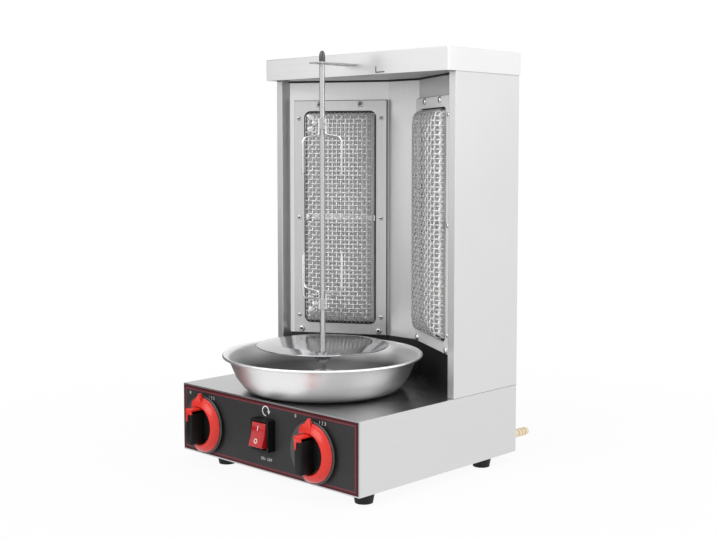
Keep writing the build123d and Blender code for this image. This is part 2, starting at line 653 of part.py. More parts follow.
def burner_screws():
    """Screws of one burner: six small ones in the frame and four large ones into the liner."""
    screws = []
    for x, z in frame_screw_points():
        head = bar(x, z, -FRAME_FRONT - SCREW_HEAD_HEIGHT, -FRAME_FRONT, SCREW_HEAD_RADIUS)
        screws.append(fuse(head, bar(x, z, -FRAME_FRONT, 0, FRAME_SCREW_RADIUS)))
    for x, z in mount_screw_points():
        head = bar(x, z, -FRAME_FRONT - MOUNT_HEAD_HEIGHT, -FRAME_FRONT, MOUNT_HEAD_RADIUS)
        screws.append(fuse(head, bar(x, z, -FRAME_FRONT, MOUNT_SCREW_REACH, MOUNT_SCREW_RADIUS)))
    return screws


# ---------------------------------------------------------------- gas supply
def jet(sign):
    """Brass jet on the base top, pointing up into a burner throat."""
    x, y = jet_place(sign)
    body = post(x, y, BASE_HEIGHT - SHEET - JET_BODY_DROP, BASE_HEIGHT, JET_BODY_RADIUS)
    flange = Pos(x, y, BASE_HEIGHT) * hexagon(JET_FLANGE_RADIUS, JET_FLANGE_HEIGHT)
    tip = post(x, y, BASE_HEIGHT, BASE_HEIGHT + JET_TIP_HEIGHT, JET_TIP_RADIUS)
    return fuse(body, flange, tip)


def feed_pipe(side):
    """Pipe from a valve outlet to the jet of its burner."""
    x, y = jet_place(SIDES[side])
    start_y = VALVE_FRONT_Y + VALVE_LENGTH
    top = BASE_HEIGHT - SHEET - JET_BODY_DROP
    points = [(KNOB_XS[side], start_y, KNOB_Z), (KNOB_XS[side], y - FEED_OFFSET, KNOB_Z), (x, y, KNOB_Z),
              (x, y, top)]
    return wire_along(points, [PIPE_BEND, PIPE_BEND], PIPE_RADIUS)


def valve(side):
    """Gas valve body: block with a nose against the panel, bored for the sleeve."""
    x = KNOB_XS[side]
    body = block(x - VALVE_WIDTH / 2, x + VALVE_WIDTH / 2, VALVE_FRONT_Y, VALVE_FRONT_Y + VALVE_LENGTH,
                 KNOB_Z - VALVE_WIDTH / 2, KNOB_Z + VALVE_WIDTH / 2)
    nose = bar(x, KNOB_Z, SHEET, VALVE_FRONT_Y, VALVE_NOSE_RADIUS)
    bore_end = SLEEVE_FRONT_Y + SLEEVE_LENGTH + KNOB_TRAVEL + 2
    return fuse(body, nose) - bar(x, KNOB_Z, SHEET - 1, bore_end, SLEEVE_RADIUS + RUNNING_CLEARANCE)


def gas_manifold():
    """Supply pipe from the nozzle to the right valve, and the cross pipe between the valves."""
    right_face = KNOB_RIGHT_X + VALVE_WIDTH / 2
    route = [(NOZZLE_X, BASE_DEPTH - SHEET - NOZZLE_STUB, NOZZLE_Z), (NOZZLE_X, CROSS_PIPE_Y, NOZZLE_Z),
             (NOZZLE_X, CROSS_PIPE_Y, KNOB_Z), (right_face, CROSS_PIPE_Y, KNOB_Z)]
    supply = wire_along(route, [PIPE_BEND - 2, PIPE_BEND - 2], PIPE_RADIUS)
    cross = crossbar(CROSS_PIPE_Y, KNOB_Z, KNOB_LEFT_X + VALVE_WIDTH / 2, KNOB_RIGHT_X - VALVE_WIDTH / 2,
                     PIPE_RADIUS)
    return [supply, cross]


def hose_nozzle():
    """Brass hose nozzle through the back wall, with a hexagon and barbs."""
    back = BASE_DEPTH
    end = back + NOZZLE_REACH
    shank = bar(NOZZLE_X, NOZZLE_Z, back, end, NOZZLE_RADIUS - NOZZLE_BARB)
    plain_end = back + NOZZLE_HEX_LENGTH + NOZZLE_PLAIN
    plain = bar(NOZZLE_X, NOZZLE_Z, back - SHEET - NOZZLE_STUB, plain_end, NOZZLE_RADIUS)
    nut = Pos(NOZZLE_X, back, NOZZLE_Z) * Rot(-90, 0, 0) * hexagon(NOZZLE_HEX, NOZZLE_HEX_LENGTH)
    pitch = (NOZZLE_REACH - NOZZLE_HEX_LENGTH - NOZZLE_PLAIN) / NOZZLE_BARBS
    low = NOZZLE_RADIUS - NOZZLE_BARB
    barb = turned([(0, 0), (NOZZLE_RADIUS, 0), (low, pitch), (0, pitch)])
    barbs = [Pos(NOZZLE_X, end - (index + 1) * pitch, NOZZLE_Z) * Rot(-90, 0, 0) * barb
             for index in range(NOZZLE_BARBS)]
    nozzle = fuse(shank, plain, nut, *barbs)
    return nozzle - bar(NOZZLE_X, NOZZLE_Z, end - NOZZLE_REACH, end + 1, NOZZLE_BORE)


def power_inlet():
    """Two-pin appliance inlet in the back wall."""
    back = BASE_DEPTH
    flange = plate_xz(INLET_WIDTH, INLET_HEIGHT, back, back + INLET_FLANGE, 3)
    body = plate_xz(INLET_WIDTH - 4, INLET_HEIGHT - 4, back - INLET_DEPTH, back)
    recess = plate_xz(INLET_RECESS_WIDTH, INLET_RECESS_HEIGHT, back + INLET_FLANGE - INLET_RECESS_DEPTH,
                      back + INLET_FLANGE + 1, INLET_RECESS_HEIGHT / 2 - 0.1)
    pins = [bar(x, 0, back + INLET_FLANGE - INLET_RECESS_DEPTH, back - 1, INLET_PIN_RADIUS)
            for x in (-INLET_PIN_SPREAD, INLET_PIN_SPREAD)]
    return Pos(INLET_X, 0, INLET_Z) * fuse(fuse(flange, body) - recess, *pins)


# ---------------------------------------------------------------- knobs
def knob_grip(side):
    """Black knob: skirt disc, raised grip bar and the bored boss on the stem."""
    back = -KNOB_SKIRT_BACK
    face = back - KNOB_SKIRT_THICKNESS
    skirt = bar(0, 0, face, back, KNOB_SKIRT_RADIUS)
    half = GRIP_HEIGHT / 2
    grip = block(-GRIP_WIDTH / 2, GRIP_WIDTH / 2, -GRIP_REACH, face, -half, half - FIN_THICKNESS)
    grip = chamfer(grip.edges().group_by(Axis.Y)[0], GRIP_CHAMFER)
    knob = fuse(skirt, grip)
    knob -= bar(0, 0, -GRIP_REACH + GRIP_WALL, 0, STEM_RADIUS)
    return Pos(KNOB_XS[side], 0, KNOB_Z) * knob


def knob_ring(side):
    """Red ring on the skirt, with the pointer, the fin over the grip and the stripe down its front."""
    face = -KNOB_SKIRT_BACK - KNOB_SKIRT_THICKNESS
    front = face - RING_DEPTH
    crest = RING_INNER_RADIUS + RING_EDGE
    ring = turned([(RING_INNER_RADIUS, 0), (RING_OUTER_RADIUS, 0), (crest, RING_DEPTH),
                   (RING_INNER_RADIUS, RING_DEPTH)])
    ring = Pos(0, face, 0) * Rot(90, 0, 0) * ring
    fin_top = GRIP_HEIGHT / 2 + RING_EDGE
    fin_bottom = GRIP_HEIGHT / 2 - FIN_THICKNESS
    fin = block(-GRIP_WIDTH / 2, GRIP_WIDTH / 2, -GRIP_REACH - STRIPE_THICKNESS, face, fin_bottom, fin_top)
    shoulder = block(-GRIP_WIDTH / 2, GRIP_WIDTH / 2, front, face, fin_bottom, crest)
    stripe = block(-STRIPE_WIDTH / 2, STRIPE_WIDTH / 2, -GRIP_REACH - STRIPE_THICKNESS, -GRIP_REACH,
                   fin_bottom - STRIPE_LENGTH, fin_bottom)
    outline = [(-POINTER_WIDTH / 2, RING_INNER_RADIUS), (POINTER_WIDTH / 2, RING_INNER_RADIUS),
               (0, POINTER_RADIUS)]
    pointer_face = Plane.XZ.offset(-front) * make_face(Polyline(*outline, close=True))
    pointer = extrude(pointer_face, -POINTER_THICKNESS)
    knob = fuse(ring, fin, shoulder, stripe, pointer)
    return Pos(KNOB_XS[side], 0, KNOB_Z) * knob


def valve_stem(side):
    """Valve stem from the knob into the valve, through its sleeve."""
    return bar(KNOB_XS[side], KNOB_Z, -GRIP_REACH + GRIP_WALL, STEM_BACK_Y, STEM_RADIUS)


def valve_sleeve(side):
    """Sliding sleeve in the valve nose, which the stem turns in."""
    x = KNOB_XS[side]
    end = SLEEVE_FRONT_Y + SLEEVE_LENGTH
    sleeve = bar(x, KNOB_Z, SLEEVE_FRONT_Y, end, SLEEVE_RADIUS)
    return sleeve - bar(x, KNOB_Z, SLEEVE_FRONT_Y - 1, end + 1, STEM_RADIUS + RUNNING_CLEARANCE)


# ---------------------------------------------------------------- rocker switch
def switch_cutout():
    """Hole for the switch body through the front plates."""
    hole = plate_xz(SWITCH_BODY_WIDTH, SWITCH_BODY_HEIGHT, -OVERLAY_THICKNESS - 1, SHEET + 1)
    return Pos(SWITCH_X, 0, SWITCH_Z) * hole


def switch_housing():
    """Black bezel and body of the rocker switch, with the well and pin holes of the rocker."""
    bezel = plate_xz(BEZEL_WIDTH, BEZEL_HEIGHT, -BEZEL_REACH, -OVERLAY_THICKNESS, BEZEL_CORNER)
    body = plate_xz(SWITCH_BODY_WIDTH, SWITCH_BODY_HEIGHT, -OVERLAY_THICKNESS, SWITCH_BODY_DEPTH)
    well_height = 2 * (math.hypot(ROCKER_HALF_HEIGHT, ROCKER_FACE) + LOOSE_CLEARANCE)
    well = plate_xz(ROCKER_WIDTH + 2 * LOOSE_CLEARANCE, well_height, -BEZEL_REACH - 1, -WELL_FLOOR)
    half = ROCKER_WIDTH / 2 + ROCKER_PIN_LENGTH + LOOSE_CLEARANCE
    pin_hole = crossbar(-ROCKER_PIVOT_REACH, 0, -half, half, ROCKER_PIN_RADIUS + RUNNING_CLEARANCE)
    lugs = [block(x - 0.4, x + 0.4, SWITCH_BODY_DEPTH, SWITCH_BODY_DEPTH + 8, -3, 3) for x in (-7, 0, 7)]
    return Pos(SWITCH_X, 0, SWITCH_Z) * (fuse(bezel, body, *lugs) - well - pin_hole)


def switch_rocker():
    """Rocker with its two pins, tilted so that its top half is pressed."""
    height = ROCKER_HALF_HEIGHT
    outline = [(-ROCKER_FACE, height), (-ROCKER_FACE, -height), (ROCKER_BACK, -height + ROCKER_TAPER),
               (ROCKER_HEEL, -ROCKER_HEEL_HALF), (ROCKER_HEEL, ROCKER_HEEL_HALF),
               (ROCKER_BACK, height - ROCKER_TAPER)]
    block_solid = extrude_across(outline, -ROCKER_WIDTH / 2, ROCKER_WIDTH / 2)
    half = ROCKER_WIDTH / 2 + ROCKER_PIN_LENGTH
    rocker = fuse(block_solid, crossbar(0, 0, -half, half, ROCKER_PIN_RADIUS))
    return Pos(SWITCH_X, -ROCKER_PIVOT_REACH, SWITCH_Z) * Rot(-ROCKER_TILT, 0, 0) * rocker


# ---------------------------------------------------------------- spit drive
def motor_bracket():
    """Bracket that hangs the gearbox under the base top."""
    top = BASE_HEIGHT - SHEET
    plate = block(-BRACKET_LEG_X, BRACKET_LEG_X, SPIT_Y - GEARBOX_DEPTH / 2, SPIT_Y + GEARBOX_DEPTH / 2,
                  GEARBOX_TOP_Z, GEARBOX_TOP_Z + BRACKET_SHEET)
    parts = [plate]
    for sign in (-1, 1):
        edge = sign * BRACKET_LEG_X
        depth = (SPIT_Y - GEARBOX_DEPTH / 2, SPIT_Y + GEARBOX_DEPTH / 2)
        parts.append(block(edge, edge - sign * BRACKET_SHEET, *depth, GEARBOX_TOP_Z, top))
        parts.append(block(edge, edge + sign * BRACKET_FOOT, *depth, top - BRACKET_SHEET, top))
    bracket = fuse(*parts) - post(0, SPIT_Y, 0, top + 1, BUSH_RADIUS)
    for x, y in motor_screw_points():
        bracket -= post(x, y, 0, top + 1, SCREW_RADIUS)
    return bracket


def motor_screw_points():
    """Plan positions of the gearbox screws."""
    return [(sign_x * MOTOR_SCREW_X, SPIT_Y + sign_y * MOTOR_SCREW_Y)
            for sign_x in (-1, 1) for sign_y in (-1, 1)]


def motor_screw(x, y):
    """Screw through the bracket into the gearbox."""
    seat = GEARBOX_TOP_Z + BRACKET_SHEET
    head = post(x, y, seat, seat + SCREW_HEAD_HEIGHT, SCREW_HEAD_RADIUS)
    return fuse(head, post(x, y, seat - SCREW_LENGTH, seat, SCREW_RADIUS))


def gearbox():
    """Reduction gearbox, bored for the drive shaft."""
    half_x = GEARBOX_WIDTH / 2
    half_y = GEARBOX_DEPTH / 2
    bottom = GEARBOX_TOP_Z - GEARBOX_HEIGHT
    box = block(-half_x, half_x, SPIT_Y - half_y, SPIT_Y + half_y, bottom, GEARBOX_TOP_Z)
    box = fillet(box.edges().filter_by(Axis.Z), 5)
    bore_radius = SHAFT_RADIUS + RUNNING_CLEARANCE
    box -= post(0, SPIT_Y, bottom + SHAFT_FLOOR, GEARBOX_TOP_Z + 1, bore_radius)
    for x, y in motor_screw_points():
        box -= post(x, y, GEARBOX_TOP_Z + BRACKET_SHEET - SCREW_LENGTH, GEARBOX_TOP_Z + 1, SCREW_RADIUS)
    return box


def motor():
    """Synchronous motor under the gearbox."""
    top = GEARBOX_TOP_Z - GEARBOX_HEIGHT
    can = post(MOTOR_OFFSET, SPIT_Y, top - MOTOR_HEIGHT, top, MOTOR_RADIUS)
    edge = MOTOR_OFFSET + MOTOR_RADIUS
    terminal = block(edge - 4, edge + 6, SPIT_Y - 8, SPIT_Y + 8, top - MOTOR_HEIGHT + 4, top - 4)
    return fuse(can, terminal)


def shaft_bush():
    """Flanged bush of the drive shaft in the base top and the bracket."""
    body = post(0, SPIT_Y, GEARBOX_TOP_Z, BASE_HEIGHT, BUSH_RADIUS)
    flange = post(0, SPIT_Y, BASE_HEIGHT, BASE_HEIGHT + BUSH_FLANGE_HEIGHT, BUSH_FLANGE_RADIUS)
    bore_radius = SHAFT_RADIUS + RUNNING_CLEARANCE
    bore = post(0, SPIT_Y, GEARBOX_TOP_Z - 1, BASE_HEIGHT + BUSH_FLANGE_HEIGHT + 1, bore_radius)
    return fuse(body, flange) - bore


def drive_shaft():
    """Output shaft with the coupling that carries the spit in a square socket."""
    bottom = GEARBOX_TOP_Z - GEARBOX_HEIGHT + SHAFT_FLOOR + SEAT_GAP
    top = COUPLING_Z + COUPLING_HEIGHT
    shaft = post(0, SPIT_Y, bottom, COUPLING_Z, SHAFT_RADIUS)
    coupling = post(0, SPIT_Y, COUPLING_Z, top, COUPLING_RADIUS)
    coupling = chamfer(coupling.edges().group_by(Axis.Z)[-1], 1.5)
    side = (SPIT_SQUARE + SQUARE_PLAY) / 2
    socket = block(-side, side, SPIT_Y - side, SPIT_Y + side, SOCKET_FLOOR_Z, top + 1)
    return fuse(shaft, coupling) - socket


# ---------------------------------------------------------------- spit and what it carries
def spit_rod():
    """Spit: square foot, round rod with a collar under the disc, and a bullet tip."""
    foot_z = SOCKET_FLOOR_Z + SEAT_GAP
    side = SPIT_SQUARE / 2
    collar_z = COUPLING_Z + COUPLING_HEIGHT + COLLAR_LIFT
    foot_solid = block(-side, side, SPIT_Y - side, SPIT_Y + side, foot_z, collar_z)
    collar = post(0, SPIT_Y, collar_z, collar_z + COLLAR_HEIGHT, COLLAR_RADIUS)
    rod = post(0, SPIT_Y, collar_z, SPIT_TOP_Z - SPIT_TIP_HEIGHT / 2, SPIT_RADIUS)
    nose = turned([(0, 0), (SPIT_RADIUS, 0), (SPIT_RADIUS * 0.9, SPIT_TIP_HEIGHT * 0.2),
                   (SPIT_RADIUS * 0.55, SPIT_TIP_HEIGHT * 0.4), (0, SPIT_TIP_HEIGHT / 2)])
    return fuse(foot_solid, collar, rod, Pos(0, SPIT_Y, SPIT_TOP_Z - SPIT_TIP_HEIGHT / 2) * nose)


def meat_disc():
    """Dished disc on the spit, with its hub on the collar."""
    hub_z = COUPLING_Z + COUPLING_HEIGHT + COLLAR_LIFT + COLLAR_HEIGHT
    slope = DISC_RADIUS - DISC_RIM - DISC_TOP_RADIUS
    rise = DISC_RISE
    profile = [(SPIT_RADIUS, DISC_Z + rise), (DISC_TOP_RADIUS, DISC_Z + rise),
               (DISC_TOP_RADIUS + slope, DISC_Z), (DISC_RADIUS, DISC_Z), (DISC_RADIUS, DISC_Z + DISC_SHEET),
               (DISC_TOP_RADIUS + slope, DISC_Z + DISC_SHEET), (DISC_TOP_RADIUS, DISC_Z + rise + DISC_SHEET),
               (SPIT_RADIUS, DISC_Z + rise + DISC_SHEET)]
    hub = post(0, 0, hub_z, DISC_Z + rise, DISC_HUB_RADIUS) - post(0, 0, 0, CAP_TOP_Z, SPIT_RADIUS)
    return Pos(0, SPIT_Y, 0) * fuse(turned(profile), hub)


def fork():
    """Four-pronged fork, hub at the bottom and prongs up, with its threaded wing screw hole."""
    hub = post(0, 0, 0, FORK_HUB_HEIGHT, FORK_HUB_RADIUS)
    parts = [hub]
    for index in range(4):
        long_pair = index % 2 == 0
        arm = FORK_HUB_HEIGHT + (FORK_LONG_ARM if long_pair else FORK_SHORT_ARM)
        root = FORK_ROOT_BEND if long_pair else FORK_SHORT_ROOT_BEND
        tip = FORK_HUB_HEIGHT + FORK_TIP
        wire = wire_along([(FORK_WIRE_INSET, 0, 0), (FORK_WIRE_INSET, 0, arm), (FORK_REACH, 0, arm),
                           (FORK_REACH, 0, tip)], [root, FORK_BEND], FORK_WIRE_RADIUS)
        point = Pos(FORK_REACH, 0, tip + FORK_TIP_LENGTH / 2) * Cone(
            FORK_WIRE_RADIUS, FORK_WIRE_RADIUS / 3, FORK_TIP_LENGTH)
        parts.append(Rot(0, 0, 90 * index) * fuse(wire, point))
    bore = post(0, 0, -1, FORK_HUB_HEIGHT + 1, SPIT_RADIUS + RUNNING_CLEARANCE)
    screw_hole = wing_axis() * Pos(0, 0, WING_BOSS_START / 2) * Cylinder(
        WING_SCREW_RADIUS + RUNNING_CLEARANCE, WING_BOSS_START)
    return fuse(*parts) - bore - Pos(0, 0, FORK_HUB_HEIGHT / 2) * screw_hole


def wing_axis():
    """Direction of the wing screws, from the rod outwards."""
    return Rot(0, 0, WING_AZIMUTH) * Rot(0, 90, 0)


def wing_screw():
    """Wing screw along +Z from the rod surface, with its wings in the XZ plane."""
    start = SPIT_RADIUS + SEAT_GAP
    shank = post(0, 0, start, WING_SCREW_REACH, WING_SCREW_RADIUS)
    boss = post(0, 0, WING_BOSS_START, WING_BOSS_START + WING_BOSS_LENGTH, WING_BOSS_RADIUS)
    half = WING_THICKNESS / 2
    wing = block(0, WING_SPAN / 2, -half, half, WING_START, WING_START + WING_LENGTH)
    wing = fillet(wing.edges().filter_by(Axis.Y).group_by(Axis.X)[-1], WING_LENGTH * 0.45)
    return fuse(shank, boss, wing, Rot(0, 0, 180) * wing)


def lower_place():
    """Place of the lower fork on the spit."""
    return Pos(0, SPIT_Y, LOWER_FORK_Z)


def upper_place():
    """Place of the upper fork, turned over so that its prongs point down."""
    return Pos(0, SPIT_Y, UPPER_FORK_Z) * Rot(180, 0, 0) * Rot(0, 0, -2 * WING_AZIMUTH)


def spit_holder():
    """Bracket over the chamber that the top of the spit turns in, with its tab inside the cap."""
    half = HOLDER_WIDTH / 2
    nose_y = SPIT_Y - HOLDER_NOSE
    tab_y = CAP_FRONT_Y + SHEET
    tongue = block(-half, half, nose_y, tab_y + HOLDER_SHEET, HOLDER_Z, HOLDER_Z + HOLDER_SHEET)
    tongue = fillet(tongue.edges().filter_by(Axis.Z).group_by(Axis.Y)[0], 4)
    tab = block(-half, half, tab_y, tab_y + HOLDER_SHEET, HOLDER_Z, HOLDER_Z + HOLDER_TAB_HEIGHT)
    holder = fuse(tongue, tab)
    holder -= post(0, SPIT_Y, HOLDER_Z - 1, HOLDER_Z + HOLDER_SHEET + 1, SPIT_RADIUS + RUNNING_CLEARANCE)
    for x in (-HOLDER_SCREW_X, HOLDER_SCREW_X):
        holder -= bar(x, holder_screw_z(), tab_y - 1, tab_y + HOLDER_SHEET + 1, SCREW_RADIUS)
    return holder


def holder_screw_z():
    """Height of the holder's screws."""
    return HOLDER_Z + HOLDER_SHEET + (HOLDER_TAB_HEIGHT - HOLDER_SHEET) / 2


def holder_screw(x):
    """Stud welded inside the cap front, with its nut on the holder tab."""
    front = CAP_FRONT_Y + SHEET
    nut_y = front + HOLDER_SHEET
    nut = Pos(x, nut_y, holder_screw_z()) * Rot(-90, 0, 0) * hexagon(SCREW_HEAD_RADIUS, SCREW_HEAD_HEIGHT)
    return fuse(bar(x, holder_screw_z(), front, nut_y + SCREW_HEAD_HEIGHT + 1, SCREW_RADIUS), nut)


def drip_pan():
    """Round drip pan with a rolled rim and a collar around the drive coupling."""
    shoulder = (PAN_SHOULDER_RADIUS, PAN_SHOULDER_HEIGHT)
    lip = (PAN_LIP_RADIUS, PAN_HEIGHT - PAN_LIP_DROP)
    outside = [(PAN_COLLAR_RADIUS, 0), (PAN_FLOOR_RADIUS, 0), shoulder, lip,
               (PAN_RIM_RADIUS, PAN_HEIGHT - PAN_SHEET), (PAN_RIM_RADIUS, PAN_HEIGHT)]
    inside = [(PAN_LIP_RADIUS - PAN_SHEET, PAN_HEIGHT), (PAN_SHOULDER_RADIUS - PAN_SHEET, PAN_SHOULDER_HEIGHT),
              (PAN_FLOOR_RADIUS - PAN_SHEET, PAN_SHEET), (PAN_COLLAR_RADIUS + PAN_SHEET, PAN_SHEET),
              (PAN_COLLAR_RADIUS + PAN_SHEET, PAN_COLLAR_HEIGHT), (PAN_COLLAR_RADIUS, PAN_COLLAR_HEIGHT)]
    return Pos(0, SPIT_Y, BASE_HEIGHT + SEAT_GAP) * turned(outside + inside)


# ---------------------------------------------------------------- all pieces
def all_pieces():
    """Every piece by name, in machine coordinates."""
    pieces = {
        "base_cover": base_cover(),
        "base_tray": base_tray(),
        "control_panel": control_panel(),
        "panel_overlay": panel_overlay(),
        "foot_screws": [foot_screw(x, y) for x, y in foot_points()],
        "back_panel": back_panel(),
        "back_panel_screws": [back_screw(x, z) for x, z in back_screw_points()],
        "top_cap": top_cap(),
        "ceiling_plate": ceiling_plate(),
        "reflector_liner": liner(),
        "lower_skirt": lower_skirt(),
        "gas_manifold": gas_manifold(),
        "hose_nozzle": hose_nozzle(),
        "power_inlet": power_inlet(),
        "switch_housing": switch_housing(),
        "switch_rocker": switch_rocker(),
        "motor_bracket": motor_bracket(),
        "motor_screws": [motor_screw(x, y) for x, y in motor_screw_points()],
        "gearbox": gearbox(),
        "motor": motor(),
        "shaft_bush": shaft_bush(),
        "drive_shaft": drive_shaft(),
        "spit_rod": spit_rod(),
        "meat_disc": meat_disc(),
        "spit_holder": spit_holder(),
        "holder_studs": [holder_screw(x) for x in (-HOLDER_SCREW_X, HOLDER_SCREW_X)],
        "drip_pan": drip_pan(),
        "lower_fork": lower_place() * fork(),
        "upper_fork": upper_place() * fork(),
    }
    foot_names = ["front_left", "front_right", "back_left", "back_right"]
    for name, (x, y) in zip(foot_names, foot_points()):
        pieces[f"foot_{name}"] = foot(x, y)
    middle = Pos(0, 0, FORK_HUB_HEIGHT / 2)
    for name, place in (("lower", lower_place()), ("upper", upper_place())):
        pieces[f"{name}_wing_screw"] = place * middle * wing_axis() * wing_screw()
    pieces["burner_screws"] = [burner_place(sign) * screw for sign in (-1, 1) for screw in burner_screws()]
    for side, sign in SIDES.items():
        place = burner_place(sign)
        pieces[f"{side}_side_panel"] = side_panel(sign)
        pieces[f"{side}_burner_box"] = place * burner_box()
        pieces[f"{side}_ceramic_tiles"] = [place * tile for tile in ceramic_tiles()]
        pieces[f"{side}_burner_frame"] = place * burner_frame()
        pieces[f"{side}_burner_guard"] = place * burner_guard()
        pieces[f"{side}_jet"] = jet(sign)
        pieces[f"{side}_feed_pipe"] = feed_pipe(side)
        pieces[f"{side}_gas_valve"] = valve(side)
        pieces[f"{side}_valve_sleeve"] = valve_sleeve(side)
        pieces[f"{side}_valve_stem"] = valve_stem(side)
        pieces[f"{side}_knob_grip"] = knob_grip(side)
        pieces[f"{side}_knob_ring"] = knob_ring(side)
    return pieces


def save(name, piece):
    """Write one node, moved to the output frame."""
    solids = piece if isinstance(piece, list) else [piece]
    moved = [OUTPUT_SHIFT * solid for solid in solids]
    shape = moved[0] if len(moved) == 1 else Compound(children=moved)
    export_step(shape, f"parts/{name}.step")


os.makedirs("parts", exist_ok=True)
for node, solid_or_group in all_pieces().items():
    save(node, solid_or_group)
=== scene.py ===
"""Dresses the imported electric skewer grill: finishes for its sheet metal and new, finer pieces where they show."""

import logging
import math
from collections.abc import Callable, Iterable, Sequence
from dataclasses import dataclass
from enum import Enum

import bmesh
import bpy
from mathutils import Matrix, Vector


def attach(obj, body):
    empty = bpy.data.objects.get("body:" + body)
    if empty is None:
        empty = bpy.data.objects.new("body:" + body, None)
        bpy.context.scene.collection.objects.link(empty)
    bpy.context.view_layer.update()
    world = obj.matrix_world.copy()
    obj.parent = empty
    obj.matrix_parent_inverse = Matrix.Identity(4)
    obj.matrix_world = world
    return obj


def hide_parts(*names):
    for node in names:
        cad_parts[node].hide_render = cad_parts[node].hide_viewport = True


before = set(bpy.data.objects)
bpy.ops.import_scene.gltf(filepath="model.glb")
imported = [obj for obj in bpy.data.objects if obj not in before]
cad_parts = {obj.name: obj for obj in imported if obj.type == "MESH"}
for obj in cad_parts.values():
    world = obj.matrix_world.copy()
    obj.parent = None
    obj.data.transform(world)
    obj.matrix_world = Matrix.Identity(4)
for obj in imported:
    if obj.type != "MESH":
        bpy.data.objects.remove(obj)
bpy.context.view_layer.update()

logging.basicConfig(level=logging.INFO, format="%(name)s: %(message)s")
log = logging.getLogger("skewer_grill")

MM = 0.001
Point = tuple[float, float, float]
Pair = tuple[float, float]
Colour = tuple[float, float, float]


# ---------------------------------------------------------------- node trees
class Desk:
    """Adds and joins the nodes of one node tree."""

    def __init__(self, tree: bpy.types.NodeTree) -> None:
        """Start on an empty tree.

        Args:
            tree: the node tree to fill.
        """
        self.tree = tree
        self.tree.nodes.clear()

    def add(self, kind: str, inputs: dict | None = None, **settings: object) -> bpy.types.Node:
        """Add one node.

        Args:
            kind: Blender's type name of the node.
            inputs: socket name or number to a plain value, or to an output socket to link.
            settings: properties of the node itself.

        Returns:
            The new node.
        """
        node = self.tree.nodes.new(kind)
        for key, value in settings.items():
            setattr(node, key, value)
        for key, value in (inputs or {}).items():
            if isinstance(value, bpy.types.NodeSocket):
                self.tree.links.new(value, node.inputs[key])
            else:
                node.inputs[key].default_value = value
        return node

    def maths(self, operation: str, *values: object, clamp: bool = False) -> bpy.types.NodeSocket:
        """Add a Math node and return its output.

        Args:
            operation: the operation's name.
            values: numbers or output sockets.
            clamp: whether the result stays between 0 and 1.

        Returns:
            The output socket.
        """
        node = self.add("ShaderNodeMath", dict(enumerate(values)), operation=operation, use_clamp=clamp)
        return node.outputs[0]

    def vector(self, operation: str, *values: object) -> bpy.types.NodeSocket:
        """Add a Vector Math node and return its vector output.

        Args:
            operation: the operation's name.
            values: vectors or output sockets.

        Returns:
            The output socket.
        """
        node = self.add("ShaderNodeVectorMath", dict(enumerate(values)), operation=operation)
        return node.outputs[0]

    def remap(self, value: bpy.types.NodeSocket, source: Pair, target: Pair) -> bpy.types.NodeSocket:
        """Stretch a value from one range to another, clamped.

        Args:
            value: output socket to read.
            source: range that goes in.
            target: range that comes out.

        Returns:
            The output socket.
        """
        node = self.add("ShaderNodeMapRange", {
            "Value": value, "From Min": source[0], "From Max": source[1],
            "To Min": target[0], "To Max": target[1]})
        return node.outputs["Result"]

    def blend(self, factor: object, low: object, high: object) -> bpy.types.NodeSocket:
        """Mix two colours.

        Args:
            factor: number or output socket between 0 and 1.
            low: colour at 0.
            high: colour at 1.

        Returns:
            The mixed colour.
        """
        node = self.add("ShaderNodeMix", data_type="RGBA")
        for index, value in ((0, factor), (6, low), (7, high)):
            if isinstance(value, bpy.types.NodeSocket):
                self.tree.links.new(value, node.inputs[index])
            elif index == 0:
                node.inputs[index].default_value = value
            else:
                node.inputs[index].default_value = (*value, 1.0)
        return node.outputs[2]


class SharedGroup:
    """A node group that is built once and placed in each material with its own values."""

    name = "shared"
    takes: dict[str, str] = {}
    gives: dict[str, str] = {}

    def tree(self) -> bpy.types.NodeTree:
        """Return the group's tree, built on its first use."""
        existing = bpy.data.node_groups.get(self.name)
        if existing:
            return existing
        tree = bpy.data.node_groups.new(self.name, "ShaderNodeTree")
        for label, kind in self.takes.items():
            tree.interface.new_socket(name=label, in_out="INPUT", socket_type=kind)
        for label, kind in self.gives.items():
            tree.interface.new_socket(name=label, in_out="OUTPUT", socket_type=kind)
        desk = Desk(tree)
        source = desk.add("NodeGroupInput")
        results = self.fill(desk, source.outputs)
        desk.add("NodeGroupOutput", results)
        return tree

    def fill(self, desk: Desk, given: bpy.types.bpy_prop_collection) -> dict[str, bpy.types.NodeSocket]:
        """Build the inside of the group.

        Args:
            desk: the group's desk.
            given: the group's input values.

        Returns:
            Output name to socket.
        """
        raise NotImplementedError

    def place(self, desk: Desk, **inputs: object) -> bpy.types.Node:
        """Place the group in a material.

        Args:
            desk: the material's desk.
            inputs: input name, with _ for a space, to a value or socket.

        Returns:
            The group node.
        """
        node = desk.add("ShaderNodeGroup", node_tree=self.tree())
        for key, value in inputs.items():
            socket = node.inputs[key.replace("_", " ")]
            if isinstance(value, bpy.types.NodeSocket):
                desk.tree.links.new(value, socket)
            else:
                socket.default_value = value
        return node


